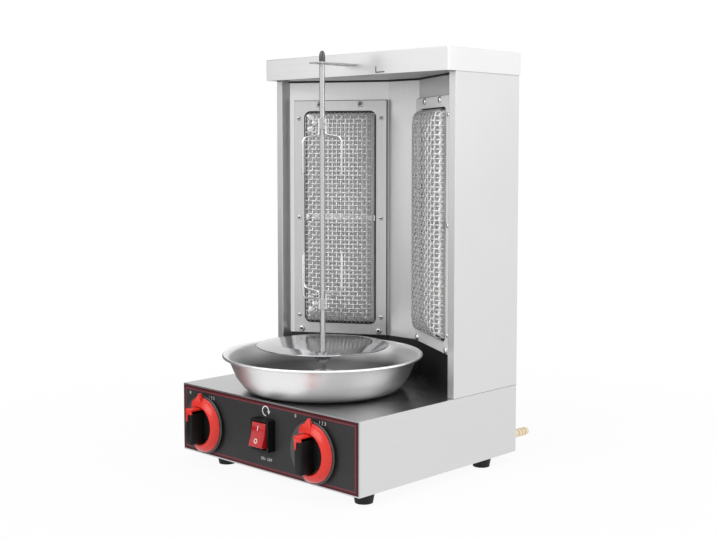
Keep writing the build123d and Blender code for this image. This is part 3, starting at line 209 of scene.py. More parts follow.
class SheetGrain(SharedGroup):
    """Fine parallel lines of brushed or rolled sheet."""

    name = "sheet_grain"
    takes = {"Place": "NodeSocketVector", "Stretch": "NodeSocketVector"}
    gives = {"Streak": "NodeSocketFloat"}

    def fill(self, desk: Desk, given: bpy.types.bpy_prop_collection) -> dict[str, bpy.types.NodeSocket]:
        """Two stretched noises, a coarse and a fine one."""
        stretched = desk.vector("MULTIPLY", given["Place"], given["Stretch"])
        coarse = desk.add("ShaderNodeTexNoise", {"Vector": stretched, "Scale": 1.0, "Detail": 3.0, "Roughness": 0.6})
        finer = desk.vector("SCALE", stretched)
        finer.node.inputs["Scale"].default_value = 3.1
        fine = desk.add("ShaderNodeTexNoise", {"Vector": finer, "Scale": 1.0, "Detail": 2.0, "Roughness": 0.5})
        mixed = desk.maths("MULTIPLY_ADD", fine.outputs[0], 0.4, desk.maths("MULTIPLY", coarse.outputs[0], 0.6))
        return {"Streak": mixed}


class HandlingMarks(SharedGroup):
    """Soft clouds where a polished surface has been touched and wiped."""

    name = "handling_marks"
    takes = {"Place": "NodeSocketVector", "Size": "NodeSocketFloat"}
    gives = {"Cloud": "NodeSocketFloat"}

    def fill(self, desk: Desk, given: bpy.types.bpy_prop_collection) -> dict[str, bpy.types.NodeSocket]:
        """A warped, soft noise."""
        noise = desk.add("ShaderNodeTexNoise", {
            "Vector": given["Place"], "Scale": given["Size"], "Detail": 3.0, "Roughness": 0.55, "Distortion": 0.6})
        return {"Cloud": desk.remap(noise.outputs[0], (0.35, 0.7), (0.0, 1.0))}


class MouldGrain(SharedGroup):
    """Pebbled skin of moulded plastic, rubber or paint."""

    name = "mould_grain"
    takes = {"Place": "NodeSocketVector", "Size": "NodeSocketFloat"}
    gives = {"Grain": "NodeSocketFloat"}

    def fill(self, desk: Desk, given: bpy.types.bpy_prop_collection) -> dict[str, bpy.types.NodeSocket]:
        """A rounded cell pattern with a little noise."""
        cells = desk.add("ShaderNodeTexVoronoi", {"Vector": given["Place"], "Scale": given["Size"]}, feature="SMOOTH_F1")
        noise = desk.add("ShaderNodeTexNoise", {"Vector": given["Place"], "Scale": given["Size"], "Detail": 2.0})
        return {"Grain": desk.maths("MULTIPLY_ADD", noise.outputs[0], 0.5, cells.outputs["Distance"])}


class PrintedLine(SharedGroup):
    """A line of even width along a rectangle with rounded corners, in the XZ plane around the origin."""

    name = "printed_line"
    takes = {"Place": "NodeSocketVector", "Half Width": "NodeSocketFloat", "Half Height": "NodeSocketFloat",
             "Corner": "NodeSocketFloat", "Line": "NodeSocketFloat"}
    gives = {"Mask": "NodeSocketFloat"}

    def fill(self, desk: Desk, given: bpy.types.bpy_prop_collection) -> dict[str, bpy.types.NodeSocket]:
        """Distance to the rounded rectangle, then a narrow band around zero."""
        parts = desk.add("ShaderNodeSeparateXYZ", {0: given["Place"]}).outputs
        over = []
        for part, half in ((parts["X"], given["Half Width"]), (parts["Z"], given["Half Height"])):
            inner = desk.maths("SUBTRACT", half, given["Corner"])
            over.append(desk.maths("SUBTRACT", desk.maths("ABSOLUTE", part), inner))
        outside = [desk.maths("MAXIMUM", value, 0.0) for value in over]
        squares = [desk.maths("MULTIPLY", value, value) for value in outside]
        corner = desk.maths("SQRT", desk.maths("ADD", *squares))
        inside = desk.maths("MINIMUM", desk.maths("MAXIMUM", *over), 0.0)
        distance = desk.maths("SUBTRACT", desk.maths("ADD", corner, inside), given["Corner"])
        edge = desk.maths("SUBTRACT", desk.maths("ABSOLUTE", distance), desk.maths("MULTIPLY", given["Line"], 0.5))
        return {"Mask": desk.remap(edge, (0.0001, -0.0001), (0.0, 1.0))}


class HoleField(SharedGroup):
    """Rows of small round holes in the XZ plane."""

    name = "hole_field"
    takes = {"Place": "NodeSocketVector", "Pitch": "NodeSocketFloat", "Hole": "NodeSocketFloat"}
    gives = {"Mask": "NodeSocketFloat"}

    def fill(self, desk: Desk, given: bpy.types.bpy_prop_collection) -> dict[str, bpy.types.NodeSocket]:
        """Distance to the middle of each square cell."""
        parts = desk.add("ShaderNodeSeparateXYZ", {0: given["Place"]}).outputs
        squares = []
        for part in (parts["X"], parts["Z"]):
            step = desk.maths("FRACT", desk.maths("DIVIDE", part, given["Pitch"]))
            centred = desk.maths("SUBTRACT", step, 0.5)
            squares.append(desk.maths("MULTIPLY", centred, centred))
        distance = desk.maths("SQRT", desk.maths("ADD", *squares))
        rim = desk.maths("SUBTRACT", distance, given["Hole"])
        return {"Mask": desk.remap(rim, (0.05, -0.05), (0.0, 1.0))}


GRAIN = SheetGrain()
MARKS = HandlingMarks()
MOULD = MouldGrain()
LINE = PrintedLine()
HOLES = HoleField()


# ---------------------------------------------------------------- finishes
class GrainRun(Enum):
    """Direction that the lines of a sheet run in."""

    ACROSS = (18.0, 900.0, 900.0)
    DEPTH = (900.0, 18.0, 900.0)
    UP = (900.0, 900.0, 18.0)
    NONE = (160.0, 160.0, 160.0)


@dataclass(frozen=True)
class Finish:
    """A surface finish; each kind builds its own node tree."""

    name: str
    slot: str
    colour: Colour

    def material(self) -> bpy.types.Material:
        """Return the finish's material, built on its first use."""
        label = f"{self.name}_finish"
        existing = bpy.data.materials.get(label)
        if existing:
            return existing
        material = bpy.data.materials.new(label)
        material.use_nodes = True
        desk = Desk(material.node_tree)
        shader = desk.add("ShaderNodeBsdfPrincipled")
        desk.add("ShaderNodeOutputMaterial", {"Surface": shader.outputs[0]})
        place = desk.add("ShaderNodeTexCoord").outputs["Object"]
        self.dress(desk, shader, place)
        return material

    def dress(self, desk: Desk, shader: bpy.types.Node, place: bpy.types.NodeSocket) -> None:
        """Feed the shader.

        Args:
            desk: the material's desk.
            shader: its Principled BSDF.
            place: the Object coordinates.
        """
        raise NotImplementedError

    def bump(self, desk: Desk, shader: bpy.types.Node, height: bpy.types.NodeSocket, depth: float) -> None:
        """Feed a height to the shader's normal.

        Args:
            desk: the material's desk.
            shader: its Principled BSDF.
            height: value between 0 and 1.
            depth: height in metres of a value of 1.
        """
        bump = desk.add("ShaderNodeBump", {"Height": height, "Strength": 1.0, "Distance": depth})
        desk.tree.links.new(bump.outputs[0], shader.inputs["Normal"])


@dataclass(frozen=True)
class SteelSheet(Finish):
    """Brushed, satin or polished stainless steel."""

    roughness: float = 0.3
    run: GrainRun = GrainRun.UP
    streaks: float = 0.06
    clouds: float = 0.06
    depth: float = 1.2e-6
    anisotropy: float = 0.0
    # levels and the shades pair: painted shade, the colour scaled from one shade to the other between two heights.
    levels: Pair = (0.0, 1.0)
    painted_shades: Pair = (1.0, 1.0)
    metallic: float = 1.0
    # Painted shade on upward-facing faces below the hollow levels.
    hollow_levels: Pair = (0.0, 1.0)
    painted_hollow_shade: float = 1.0

    def dress(self, desk: Desk, shader: bpy.types.Node, place: bpy.types.NodeSocket) -> None:
        """Streaks vary tone and roughness, clouds vary roughness; painted shade darkens the colour by height and in
        upward-facing hollows.
        """
        streak = GRAIN.place(desk, Place=place, Stretch=self.run.value).outputs["Streak"]
        cloud = MARKS.place(desk, Place=place, Size=14.0).outputs["Cloud"]
        tone = desk.remap(streak, (0.3, 0.7), (0.0, 1.0))
        dark = tuple(value * (1.0 - self.streaks) for value in self.colour)
        light = tuple(min(1.0, value * (1.0 + self.streaks)) for value in self.colour)
        sheet = desk.blend(tone, dark, light)
        # Painted shade: the colour is scaled by height, darker or lighter between the two levels.
        if self.painted_shades != (1.0, 1.0):
            level = desk.add("ShaderNodeSeparateXYZ", {0: place}).outputs["Z"]
            mask = desk.remap(level, self.levels, (0.0, 1.0))
            low, high = (desk.blend(tone, *(tuple(value * shade for value in edge) for edge in (dark, light)))
                         for shade in self.painted_shades)
            sheet = desk.blend(mask, low, high)
        # Painted shade: upward-facing faces low in a hollow are darkened, as if in shade.
        if self.painted_hollow_shade < 1.0:
            level = desk.add("ShaderNodeSeparateXYZ", {0: place}).outputs["Z"]
            normal = desk.add("ShaderNodeNewGeometry").outputs["True Normal"]
            upward = desk.remap(desk.add("ShaderNodeSeparateXYZ", {0: normal}).outputs["Z"], (-0.05, 0.05), (0.0, 1.0))
            painted_shade_mask = desk.maths("MULTIPLY", upward, desk.remap(level, self.hollow_levels, (1.0, 0.0)))
            sheet = desk.blend(painted_shade_mask, sheet, tuple(value * self.painted_hollow_shade for value in self.colour))
        desk.tree.links.new(sheet, shader.inputs["Base Color"])
        rough = desk.maths("MULTIPLY_ADD", cloud, self.clouds, self.roughness)
        rough = desk.maths("MULTIPLY_ADD", tone, self.streaks * 0.5, rough)
        desk.tree.links.new(rough, shader.inputs["Roughness"])
        shader.inputs["Metallic"].default_value = self.metallic
        shader.inputs["Anisotropic"].default_value = self.anisotropy
        self.bump(desk, shader, streak, self.depth)


@dataclass(frozen=True)
class Moulded(Finish):
    """Moulded plastic, rubber or paint."""

    roughness: float = 0.4
    grain_size: float = 900.0
    depth: float = 2e-5
    coat: float = 0.0
    variation: float = 0.12
    shine: float = 0.5

    def dress(self, desk: Desk, shader: bpy.types.Node, place: bpy.types.NodeSocket) -> None:
        """A pebbled skin with faint clouds of wear."""
        grain = MOULD.place(desk, Place=place, Size=self.grain_size).outputs["Grain"]
        cloud = MARKS.place(desk, Place=place, Size=40.0).outputs["Cloud"]
        dark = tuple(value * (1.0 - self.variation) for value in self.colour)
        light = tuple(min(1.0, value * (1.0 + self.variation)) for value in self.colour)
        desk.tree.links.new(desk.blend(cloud, dark, light), shader.inputs["Base Color"])
        desk.tree.links.new(desk.maths("MULTIPLY_ADD", cloud, 0.08, self.roughness), shader.inputs["Roughness"])
        shader.inputs["Specular IOR Level"].default_value = self.shine
        shader.inputs["Coat Weight"].default_value = self.coat
        shader.inputs["Coat Roughness"].default_value = 0.08
        self.bump(desk, shader, grain, self.depth)


@dataclass(frozen=True)
class TurnedMetal(Finish):
    """Turned, drawn or plated metal."""

    roughness: float = 0.25
    ring_size: float = 1200.0
    tarnish: Colour = (0.4, 0.3, 0.15)
    tarnish_amount: float = 0.15

    def dress(self, desk: Desk, shader: bpy.types.Node, place: bpy.types.NodeSocket) -> None:
        """Fine noise for the tool marks, clouds for the tarnish."""
        noise = desk.add("ShaderNodeTexNoise", {"Vector": place, "Scale": self.ring_size, "Detail": 2.0})
        cloud = MARKS.place(desk, Place=place, Size=90.0).outputs["Cloud"]
        amount = desk.maths("MULTIPLY", cloud, self.tarnish_amount)
        desk.tree.links.new(desk.blend(amount, self.colour, self.tarnish), shader.inputs["Base Color"])
        rough = desk.maths("MULTIPLY_ADD", cloud, 0.1, self.roughness)
        desk.tree.links.new(rough, shader.inputs["Roughness"])
        shader.inputs["Metallic"].default_value = 1.0
        self.bump(desk, shader, noise.outputs[0], 4e-7)


@dataclass(frozen=True)
class PrintedPlate(Finish):
    """Dark front plate with a double printed border."""

    centre: Point = (0.0, 0.0, 0.0)
    half_width: float = 0.1
    half_height: float = 0.03
    outer: Colour = (0.10, 0.004, 0.007)
    inner: Colour = (0.26, 0.04, 0.06)
    outer_inset: float = 0.0011
    inner_inset: float = 0.0035
    corner: float = 0.001

    def dress(self, desk: Desk, shader: bpy.types.Node, place: bpy.types.NodeSocket) -> None:
        """Two rounded rectangles over a dark ground with a fine grain."""
        centred = desk.vector("SUBTRACT", place, self.centre)
        grain = MOULD.place(desk, Place=place, Size=1400.0).outputs["Grain"]
        cloud = MARKS.place(desk, Place=place, Size=18.0).outputs["Cloud"]
        ground = desk.blend(cloud, self.colour, tuple(value * 1.2 for value in self.colour))
        for inset, width, colour in ((self.outer_inset, 0.0016, self.outer), (self.inner_inset, 0.0011, self.inner)):
            line = LINE.place(desk, Place=centred, Half_Width=self.half_width - inset,
                              Half_Height=self.half_height - inset, Corner=self.corner, Line=width)
            ground = desk.blend(line.outputs["Mask"], ground, colour)
        desk.tree.links.new(ground, shader.inputs["Base Color"])
        desk.tree.links.new(desk.maths("MULTIPLY_ADD", cloud, 0.08, 0.4), shader.inputs["Roughness"])
        shader.inputs["Specular IOR Level"].default_value = 0.16
        self.bump(desk, shader, grain, 4e-6)


@dataclass(frozen=True)
class PerforatedCeramic(Finish):
    """Porous ceramic tile with rows of fine holes, turned to the burner's own plane."""

    centre: Point = (0.0, 0.0, 0.0)
    turn: float = 0.0
    pitch: float = 0.0024
    hole: float = 0.27

    def dress(self, desk: Desk, shader: bpy.types.Node, place: bpy.types.NodeSocket) -> None:
        """Holes painted dark, as painted shade in them, in a slightly mottled, matt ground."""
        moved = desk.vector("SUBTRACT", place, self.centre)
        turned = desk.add("ShaderNodeMapping", {"Vector": moved, "Rotation": (0.0, 0.0, -self.turn)}).outputs[0]
        mask = HOLES.place(desk, Place=turned, Pitch=self.pitch, Hole=self.hole).outputs["Mask"]
        grain = MOULD.place(desk, Place=place, Size=1100.0).outputs["Grain"]
        cloud = MARKS.place(desk, Place=place, Size=25.0).outputs["Cloud"]
        ground = desk.blend(cloud, self.colour, tuple(value * 0.86 for value in self.colour))
        # The hole colour is painted shade in the holes.
        desk.tree.links.new(desk.blend(mask, ground, (0.3, 0.295, 0.285)), shader.inputs["Base Color"])
        desk.tree.links.new(desk.maths("MULTIPLY_ADD", cloud, 0.05, 0.85), shader.inputs["Roughness"])
        height = desk.maths("SUBTRACT", desk.maths("MULTIPLY", grain, 0.15), mask)
        self.bump(desk, shader, height, 4e-4)


BODY_STEEL = SteelSheet("body_steel", "body_steel", (0.72, 0.72, 0.72), roughness=0.34, run=GrainRun.UP,
                        streaks=0.025)
CAP_STEEL = SteelSheet("cap_steel", "body_steel", (0.84, 0.84, 0.84), roughness=0.28, run=GrainRun.ACROSS,
                       streaks=0.03)
CEILING_STEEL = SteelSheet("ceiling_steel", "plain_steel", (0.66, 0.66, 0.66), roughness=0.4, run=GrainRun.ACROSS)
# The base top is painted darker than the sides: painted shade.
BASE_STEEL = SteelSheet("base_steel", "base_steel", (0.70, 0.70, 0.705), roughness=0.27, run=GrainRun.DEPTH,
                        streaks=0.02, clouds=0.03, levels=(0.0858, 0.0864), painted_shades=(1.0, 0.68))
PLAIN_STEEL = SteelSheet("plain_steel", "plain_steel", (0.60, 0.60, 0.61), roughness=0.3, streaks=0.08)
FRAME_STEEL = SteelSheet("frame_steel", "plain_steel", (0.56, 0.56, 0.565), roughness=0.33, streaks=0.08)
# Painted light: a brighter, less metallic copy of the frame steel for the right burner's frame.
PAINTED_LIGHT_FRAME_STEEL = SteelSheet("painted_light_frame_steel", "plain_steel", (0.93, 0.93, 0.93), roughness=0.5, streaks=0.04,
                              metallic=0.4)
LINER_STEEL = SteelSheet("liner_steel", "mirror_steel", (0.76, 0.76, 0.765), roughness=0.32, streaks=0.03,
                         depth=3e-7, metallic=0.75)
DISC_STEEL = SteelSheet("disc_steel", "disc_steel", (0.48, 0.48, 0.49), roughness=0.09, run=GrainRun.NONE,
                        streaks=0.02, clouds=0.05, depth=4e-7)
# Painted shade: the pan is darker towards its foot and on its upward-facing inside under the disc.
PAN_STEEL = SteelSheet("pan_steel", "pan_steel", (0.90, 0.90, 0.905), roughness=0.36, run=GrainRun.UP,
                       streaks=0.05, levels=(0.088, 0.100), painted_shades=(0.5, 1.0), hollow_levels=(0.102, 0.117),
                       painted_hollow_shade=0.22)
FORK_STEEL = TurnedMetal("fork_steel", "rod_steel", (0.78, 0.78, 0.78), roughness=0.2, tarnish=(0.6, 0.6, 0.6))
HUB_STEEL = TurnedMetal("hub_steel", "rod_steel", (0.50, 0.50, 0.50), roughness=0.24, tarnish=(0.2, 0.2, 0.2))
ROD_STEEL = TurnedMetal("rod_steel", "rod_steel", (0.60, 0.60, 0.61), roughness=0.24, tarnish=(0.4, 0.4, 0.4))
TIP_STEEL = TurnedMetal("tip_steel", "rod_steel", (0.12, 0.12, 0.125), roughness=0.34, tarnish=(0.05, 0.05, 0.05))
SCREW_STEEL = TurnedMetal("screw_steel", "screw_steel", (0.80, 0.80, 0.80), roughness=0.18, tarnish=(0.5, 0.5, 0.5))
WING_STEEL = TurnedMetal("wing_steel", "screw_steel", (0.72, 0.72, 0.72), roughness=0.18, tarnish=(0.2, 0.2, 0.2),
                         tarnish_amount=0.5)
GUARD_WIRE = TurnedMetal("guard_wire", "guard_wire", (0.76, 0.76, 0.76), roughness=0.5, tarnish=(0.45, 0.45, 0.45))
# Near-black finish for painted shadows: the gap under the ceiling, the relief, the guard rims and the screw sockets.
SHADOW_STEEL = TurnedMetal("painted_shadow_steel", "guard_wire", (0.07, 0.07, 0.07), roughness=0.5, tarnish=(0.03, 0.03, 0.03))
BLACK_SHEET = Moulded("black_sheet", "black_sheet", (0.022, 0.022, 0.023), roughness=0.4, depth=1e-5, shine=0.4)
FOOT_RUBBER = Moulded("foot_rubber", "foot_rubber", (0.012, 0.012, 0.013), roughness=0.6, grain_size=700.0, shine=0.3)
BLACK_PLASTIC = Moulded("black_plastic", "black_plastic", (0.008, 0.008, 0.008), roughness=0.36, depth=8e-6,
                        shine=0.2)
SKIRT_PLASTIC = Moulded("skirt_plastic", "black_plastic", (0.06, 0.06, 0.061), roughness=0.35, depth=1e-5)
RED_PLASTIC = Moulded("red_plastic", "red_plastic", (0.80, 0.03, 0.018), roughness=0.24, depth=4e-6, coat=0.25,
                      variation=0.04, shine=0.35)
RED_LENS = Moulded("red_lens", "red_lens", (0.50, 0.006, 0.008), roughness=0.14, depth=3e-6, coat=0.4,
                   variation=0.16, shine=0.4)
WHITE_PRINT = Moulded("white_print", "panel_print", (0.78, 0.78, 0.78), roughness=0.4, depth=2e-6)
BRASS = TurnedMetal("brass", "brass", (0.80, 0.58, 0.26), roughness=0.22)
NOZZLE_BRASS = TurnedMetal("nozzle_brass", "brass", (0.86, 0.74, 0.55), roughness=0.25)
PIPE_METAL = TurnedMetal("pipe_metal", "pipe_metal", (0.75, 0.75, 0.74), roughness=0.35, tarnish=(0.5, 0.5, 0.48))
MOTOR_METAL = TurnedMetal("motor_metal", "motor_metal", (0.45, 0.45, 0.46), roughness=0.4, tarnish=(0.3, 0.3, 0.3))


# ---------------------------------------------------------------- shapes
class Shape:
    """A mesh under construction, in millimetres in its own place, and the operators that shape it."""

    def __init__(self, flat_width: float | None = None) -> None:
        """Start with an empty mesh.

        Args:
            flat_width: faces wider than this many millimetres are shaded flat, or None.
        """
        self.bm = bmesh.new()
        self.flat_width = flat_width

    def verts_of(self, geometry: Iterable) -> list[bmesh.types.BMVert]:
        """Pick the vertices out of an operator's result."""
        return [item for item in geometry if isinstance(item, bmesh.types.BMVert)]

    def cylinder(self, start: Point, end: Point, radius: float, tip: float | None = None,
                 segments: int = 32) -> list[bmesh.types.BMVert]:
        """Add a closed cylinder or cone between two points.

        Args:
            start: centre of the first end.
            end: centre of the other end.
            radius: radius at the start.
            tip: radius at the end, or None for the same.
            segments: sides of the circle.

        Returns:
            The new vertices.
        """
        first, last = Vector(start), Vector(end)
        run = last - first
        turn = Vector((0, 0, 1)).rotation_difference(run).to_matrix().to_4x4()
        made = bmesh.ops.create_cone(
            self.bm, cap_ends=True, segments=segments, radius1=radius, radius2=radius if tip is None else tip,
            depth=run.length, matrix=Matrix.Translation((first + last) / 2) @ turn)
        return made["verts"]

    def box(self, low: Point, high: Point, bevel: float = 0.0, segments: int = 3) -> list[bmesh.types.BMVert]:
        """Add a box between two corners, with rounded edges.

        Args:
            low: one corner.
            high: the opposite corner.
            bevel: size of the rounding.
            segments: facets of the rounding.

        Returns:
            The box's vertices before the rounding.
        """
        a, b = Vector(low), Vector(high)
        made = bmesh.ops.create_cube(self.bm, size=1.0)
        verts = made["verts"]
        bmesh.ops.scale(self.bm, vec=b - a, verts=verts)
        bmesh.ops.translate(self.bm, vec=(a + b) / 2, verts=verts)
        if bevel:
            edges = list({edge for vert in verts for edge in vert.link_edges})
            bmesh.ops.bevel(self.bm, geom=edges, offset=bevel, segments=segments, profile=0.5, affect="EDGES",
                            material=-1)
        return verts

    def lathe(self, profile: Sequence[Pair], steps: int = 96, axis: Point = (0, 0, 1), closed: bool = True) -> None:
        """Spin a profile of (radius, height) points around an axis through the origin.

        Args:
            profile: the points, as they run round the section.
            steps: facets of the full turn.
            axis: direction of the axis.
            closed: whether the section's last point joins its first.
        """
        verts = [self.bm.verts.new((radius, 0, height)) for radius, height in profile]
        pairs = list(zip(verts, verts[1:])) + ([(verts[-1], verts[0])] if closed else [])
        edges = [self.bm.edges.new(pair) for pair in pairs]
        made = bmesh.ops.spin(self.bm, geom=verts + edges, cent=(0, 0, 0), axis=(0, 0, 1), dvec=(0, 0, 0),
                              angle=math.tau, steps=steps, use_merge=True, use_duplicate=False)
        bmesh.ops.remove_doubles(self.bm, verts=self.bm.verts, dist=1e-5)
        if tuple(axis) != (0, 0, 1):
            turn = Vector((0, 0, 1)).rotation_difference(Vector(axis)).to_matrix()
            bmesh.ops.rotate(self.bm, cent=(0, 0, 0), matrix=turn, verts=self.bm.verts)
        del made

    def wire(self, points: Sequence[Point], bends: Sequence[float], radius: float, sides: int = 12,
             tip: float = 1.0) -> None:
        """Sweep a round wire along a bent line.

        Args:
            points: corners of the line, ends included.
            bends: bend radius at each inner corner.
            radius: the wire's radius.
            sides: sides of its section.
            tip: scale of the last ring.
        """
        line = bent_line(points, bends)
        heading = line[1] - line[0]
        turn = Vector((0, 0, 1)).rotation_difference(heading).to_matrix().to_4x4()
        ring = bmesh.ops.create_circle(self.bm, cap_ends=True, segments=sides, radius=radius,
                                       matrix=Matrix.Translation(line[0]) @ turn)["verts"]
        edges = list({edge for vert in ring for edge in vert.link_edges})
        for index in range(1, len(line)):
            out = bmesh.ops.extrude_edge_only(self.bm, edges=edges)["geom"]
            ring = self.verts_of(out)
            found = set(ring)
            edges = [item for item in out if isinstance(item, bmesh.types.BMEdge)
                     and all(vert in found for vert in item.verts)]
            last = index == len(line) - 1
            ahead = line[index] - line[index - 1] if last else (line[index + 1] - line[index - 1])
            swing = heading.rotation_difference(ahead).to_matrix()
            bmesh.ops.rotate(self.bm, cent=line[index - 1], matrix=swing, verts=ring)
            bmesh.ops.translate(self.bm, vec=line[index] - line[index - 1], verts=ring)
            if last and tip != 1.0:
                for vert in ring:
                    vert.co = line[index] + (vert.co - line[index]) * tip
            heading = ahead
        bmesh.ops.edgeloop_fill(self.bm, edges=edges)

    def absorb(self, other: "Shape", place: Matrix | None = None) -> None:
        """Take over another shape's mesh.

        Args:
            other: the shape that is used up.
            place: a transform for it first.
        """
        if place is not None:
            other.move(place)
        mesh = bpy.data.meshes.new("scratch")
        other.bm.to_mesh(mesh)
        other.bm.free()
        self.bm.from_mesh(mesh)
        bpy.data.meshes.remove(mesh)

    def widths(self, edge: bmesh.types.BMEdge) -> list[float]:
        """Return the average width of each face beside an edge."""
        return [face.calc_area() / max(edge.calc_length(), 1e-9) for face in edge.link_faces]

    def flat_borders(self) -> list[int]:
        """Return the edges around the wide flat faces."""
        if self.flat_width is None:
            return []
        self.bm.edges.index_update()
        return [edge.index for edge in self.bm.edges if len(edge.link_faces) == 2
                and edge.calc_face_angle(0.0) > 0.01 and max(self.widths(edge)) > self.flat_width]

    def round_folds(self, fold: float, edge: float, wide: float = 4.0, angle: float = 40.0) -> None:
        """Round the folds between wide faces, then break the other sharp edges.

        Args:
            fold: rounding of the folds.
            edge: rounding of the other edges.
            wide: least width of a face beside a fold.
            angle: least angle of an edge that counts as sharp, in degrees.
        """
        limit = math.radians(angle)
        sharp = [item for item in self.bm.edges if item.is_manifold and item.calc_face_angle(0.0) > limit]
        folds = [item for item in sharp if item.is_convex and min(self.widths(item)) > wide
                 and item.calc_length() > wide]
        if folds and fold:
            bmesh.ops.bevel(self.bm, geom=folds, offset=fold, segments=4, profile=0.5, affect="EDGES", material=-1,
                            clamp_overlap=True)
        sharp = [item for item in self.bm.edges if item.is_manifold and item.calc_face_angle(0.0) > limit]
        if sharp and edge:
            bmesh.ops.bevel(self.bm, geom=sharp, offset=edge, segments=2, profile=0.5, affect="EDGES", material=-1,
                            clamp_overlap=True)

    def move(self, matrix: Matrix) -> None:
        """Transform everything made so far."""
        bmesh.ops.transform(self.bm, matrix=matrix, verts=self.bm.verts)

    def piece(self, name: str, finish: Finish, body: str, replaces: Sequence[str] = (),
              smooth: float = 32.0, place: Matrix | None = None) -> bpy.types.Object:
        """Finish the mesh as a piece of the scene, scaled to metres.

        Args:
            name: the piece's name.
            finish: what it is made of.
            body: the CAD body that it rides on.
            replaces: CAD nodes that it stands for.
            smooth: edges flatter than this many degrees are shaded smooth.
            place: a last transform, in millimetres.

        Returns:
            The new object.
        """
        if place is not None:
            self.move(place)
        borders = self.flat_borders()
        self.move(Matrix.Scale(MM, 4))
        bmesh.ops.recalc_face_normals(self.bm, faces=self.bm.faces)
        mesh = bpy.data.meshes.new(name)
        self.bm.to_mesh(mesh)
        self.bm.free()
        mesh.materials.append(finish.material())
        mesh.shade_smooth()
        mesh.set_sharp_from_angle(angle=math.radians(smooth))
        for index in borders:
            mesh.edges[index].use_edge_sharp = True
        piece = bpy.data.objects.new(name, mesh)
        bpy.context.scene.collection.objects.link(piece)
        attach(piece, body)
        if replaces:
            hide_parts(*replaces)
        log.info("made %s, %d faces", name, len(mesh.polygons))
        return piece


def bent_line(points: Sequence[Point], bends: Sequence[float], steps: int = 7) -> list[Vector]:
    """Round the corners of a line.

    Args:
        points: corners of the line, ends included.
        bends: bend radius at each inner corner.
        steps: points on each bend.

    Returns:
        The points of the rounded line.
    """
    line = [Vector(point) for point in points]
    result = [line[0]]
    for index, bend in enumerate(bends, start=1):
        corner = line[index]
        back = (line[index - 1] - corner).normalized()
        ahead = (line[index + 1] - corner).normalized()
        half = back.angle(ahead) / 2
        if half > math.pi / 2 - 1e-3:
            result.append(corner)
            continue
        reach = bend / math.tan(half)
        centre = corner + (back + ahead).normalized() * (bend / math.sin(half))
        first, last = corner + back * reach - centre, corner + ahead * reach - centre
        for step in range(steps + 1):
            result.append(centre + first.slerp(last, step / steps) * bend)
    return result + [line[-1]]


def soften(node: str, finish: Finish, body: str, fold: float, edge: float) -> None:
    """Replace a sheet-metal node with a copy that has rounded folds and edges.

    Args:
        node: the CAD node.
        finish: what it is made of.
        body: the CAD body that it rides on.
        fold: rounding of the folds, in millimetres.
        edge: rounding of the other edges.
    """
    shape = Shape(flat_width=3.0)
    shape.bm.from_mesh(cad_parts[node].data)
    shape.move(Matrix.Scale(1 / MM, 4))
    bmesh.ops.remove_doubles(shape.bm, verts=shape.bm.verts, dist=1e-3)
    bmesh.ops.dissolve_limit(shape.bm, angle_limit=math.radians(0.5), verts=shape.bm.verts, edges=shape.bm.edges)
    shape.round_folds(fold, edge)
    shape.piece(f"{node}_folded", finish, body, (node,), smooth=30.0)


def coat(finish: Finish, *nodes: str) -> None:
    """Give CAD nodes a finish.

    Args:
        finish: the finish.
        nodes: names of the nodes.
    """
    for name in nodes:
        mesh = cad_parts[name].data
        mesh.materials.clear()
        mesh.materials.append(finish.material())
        log.info("coated %s with %s", name, finish.name)


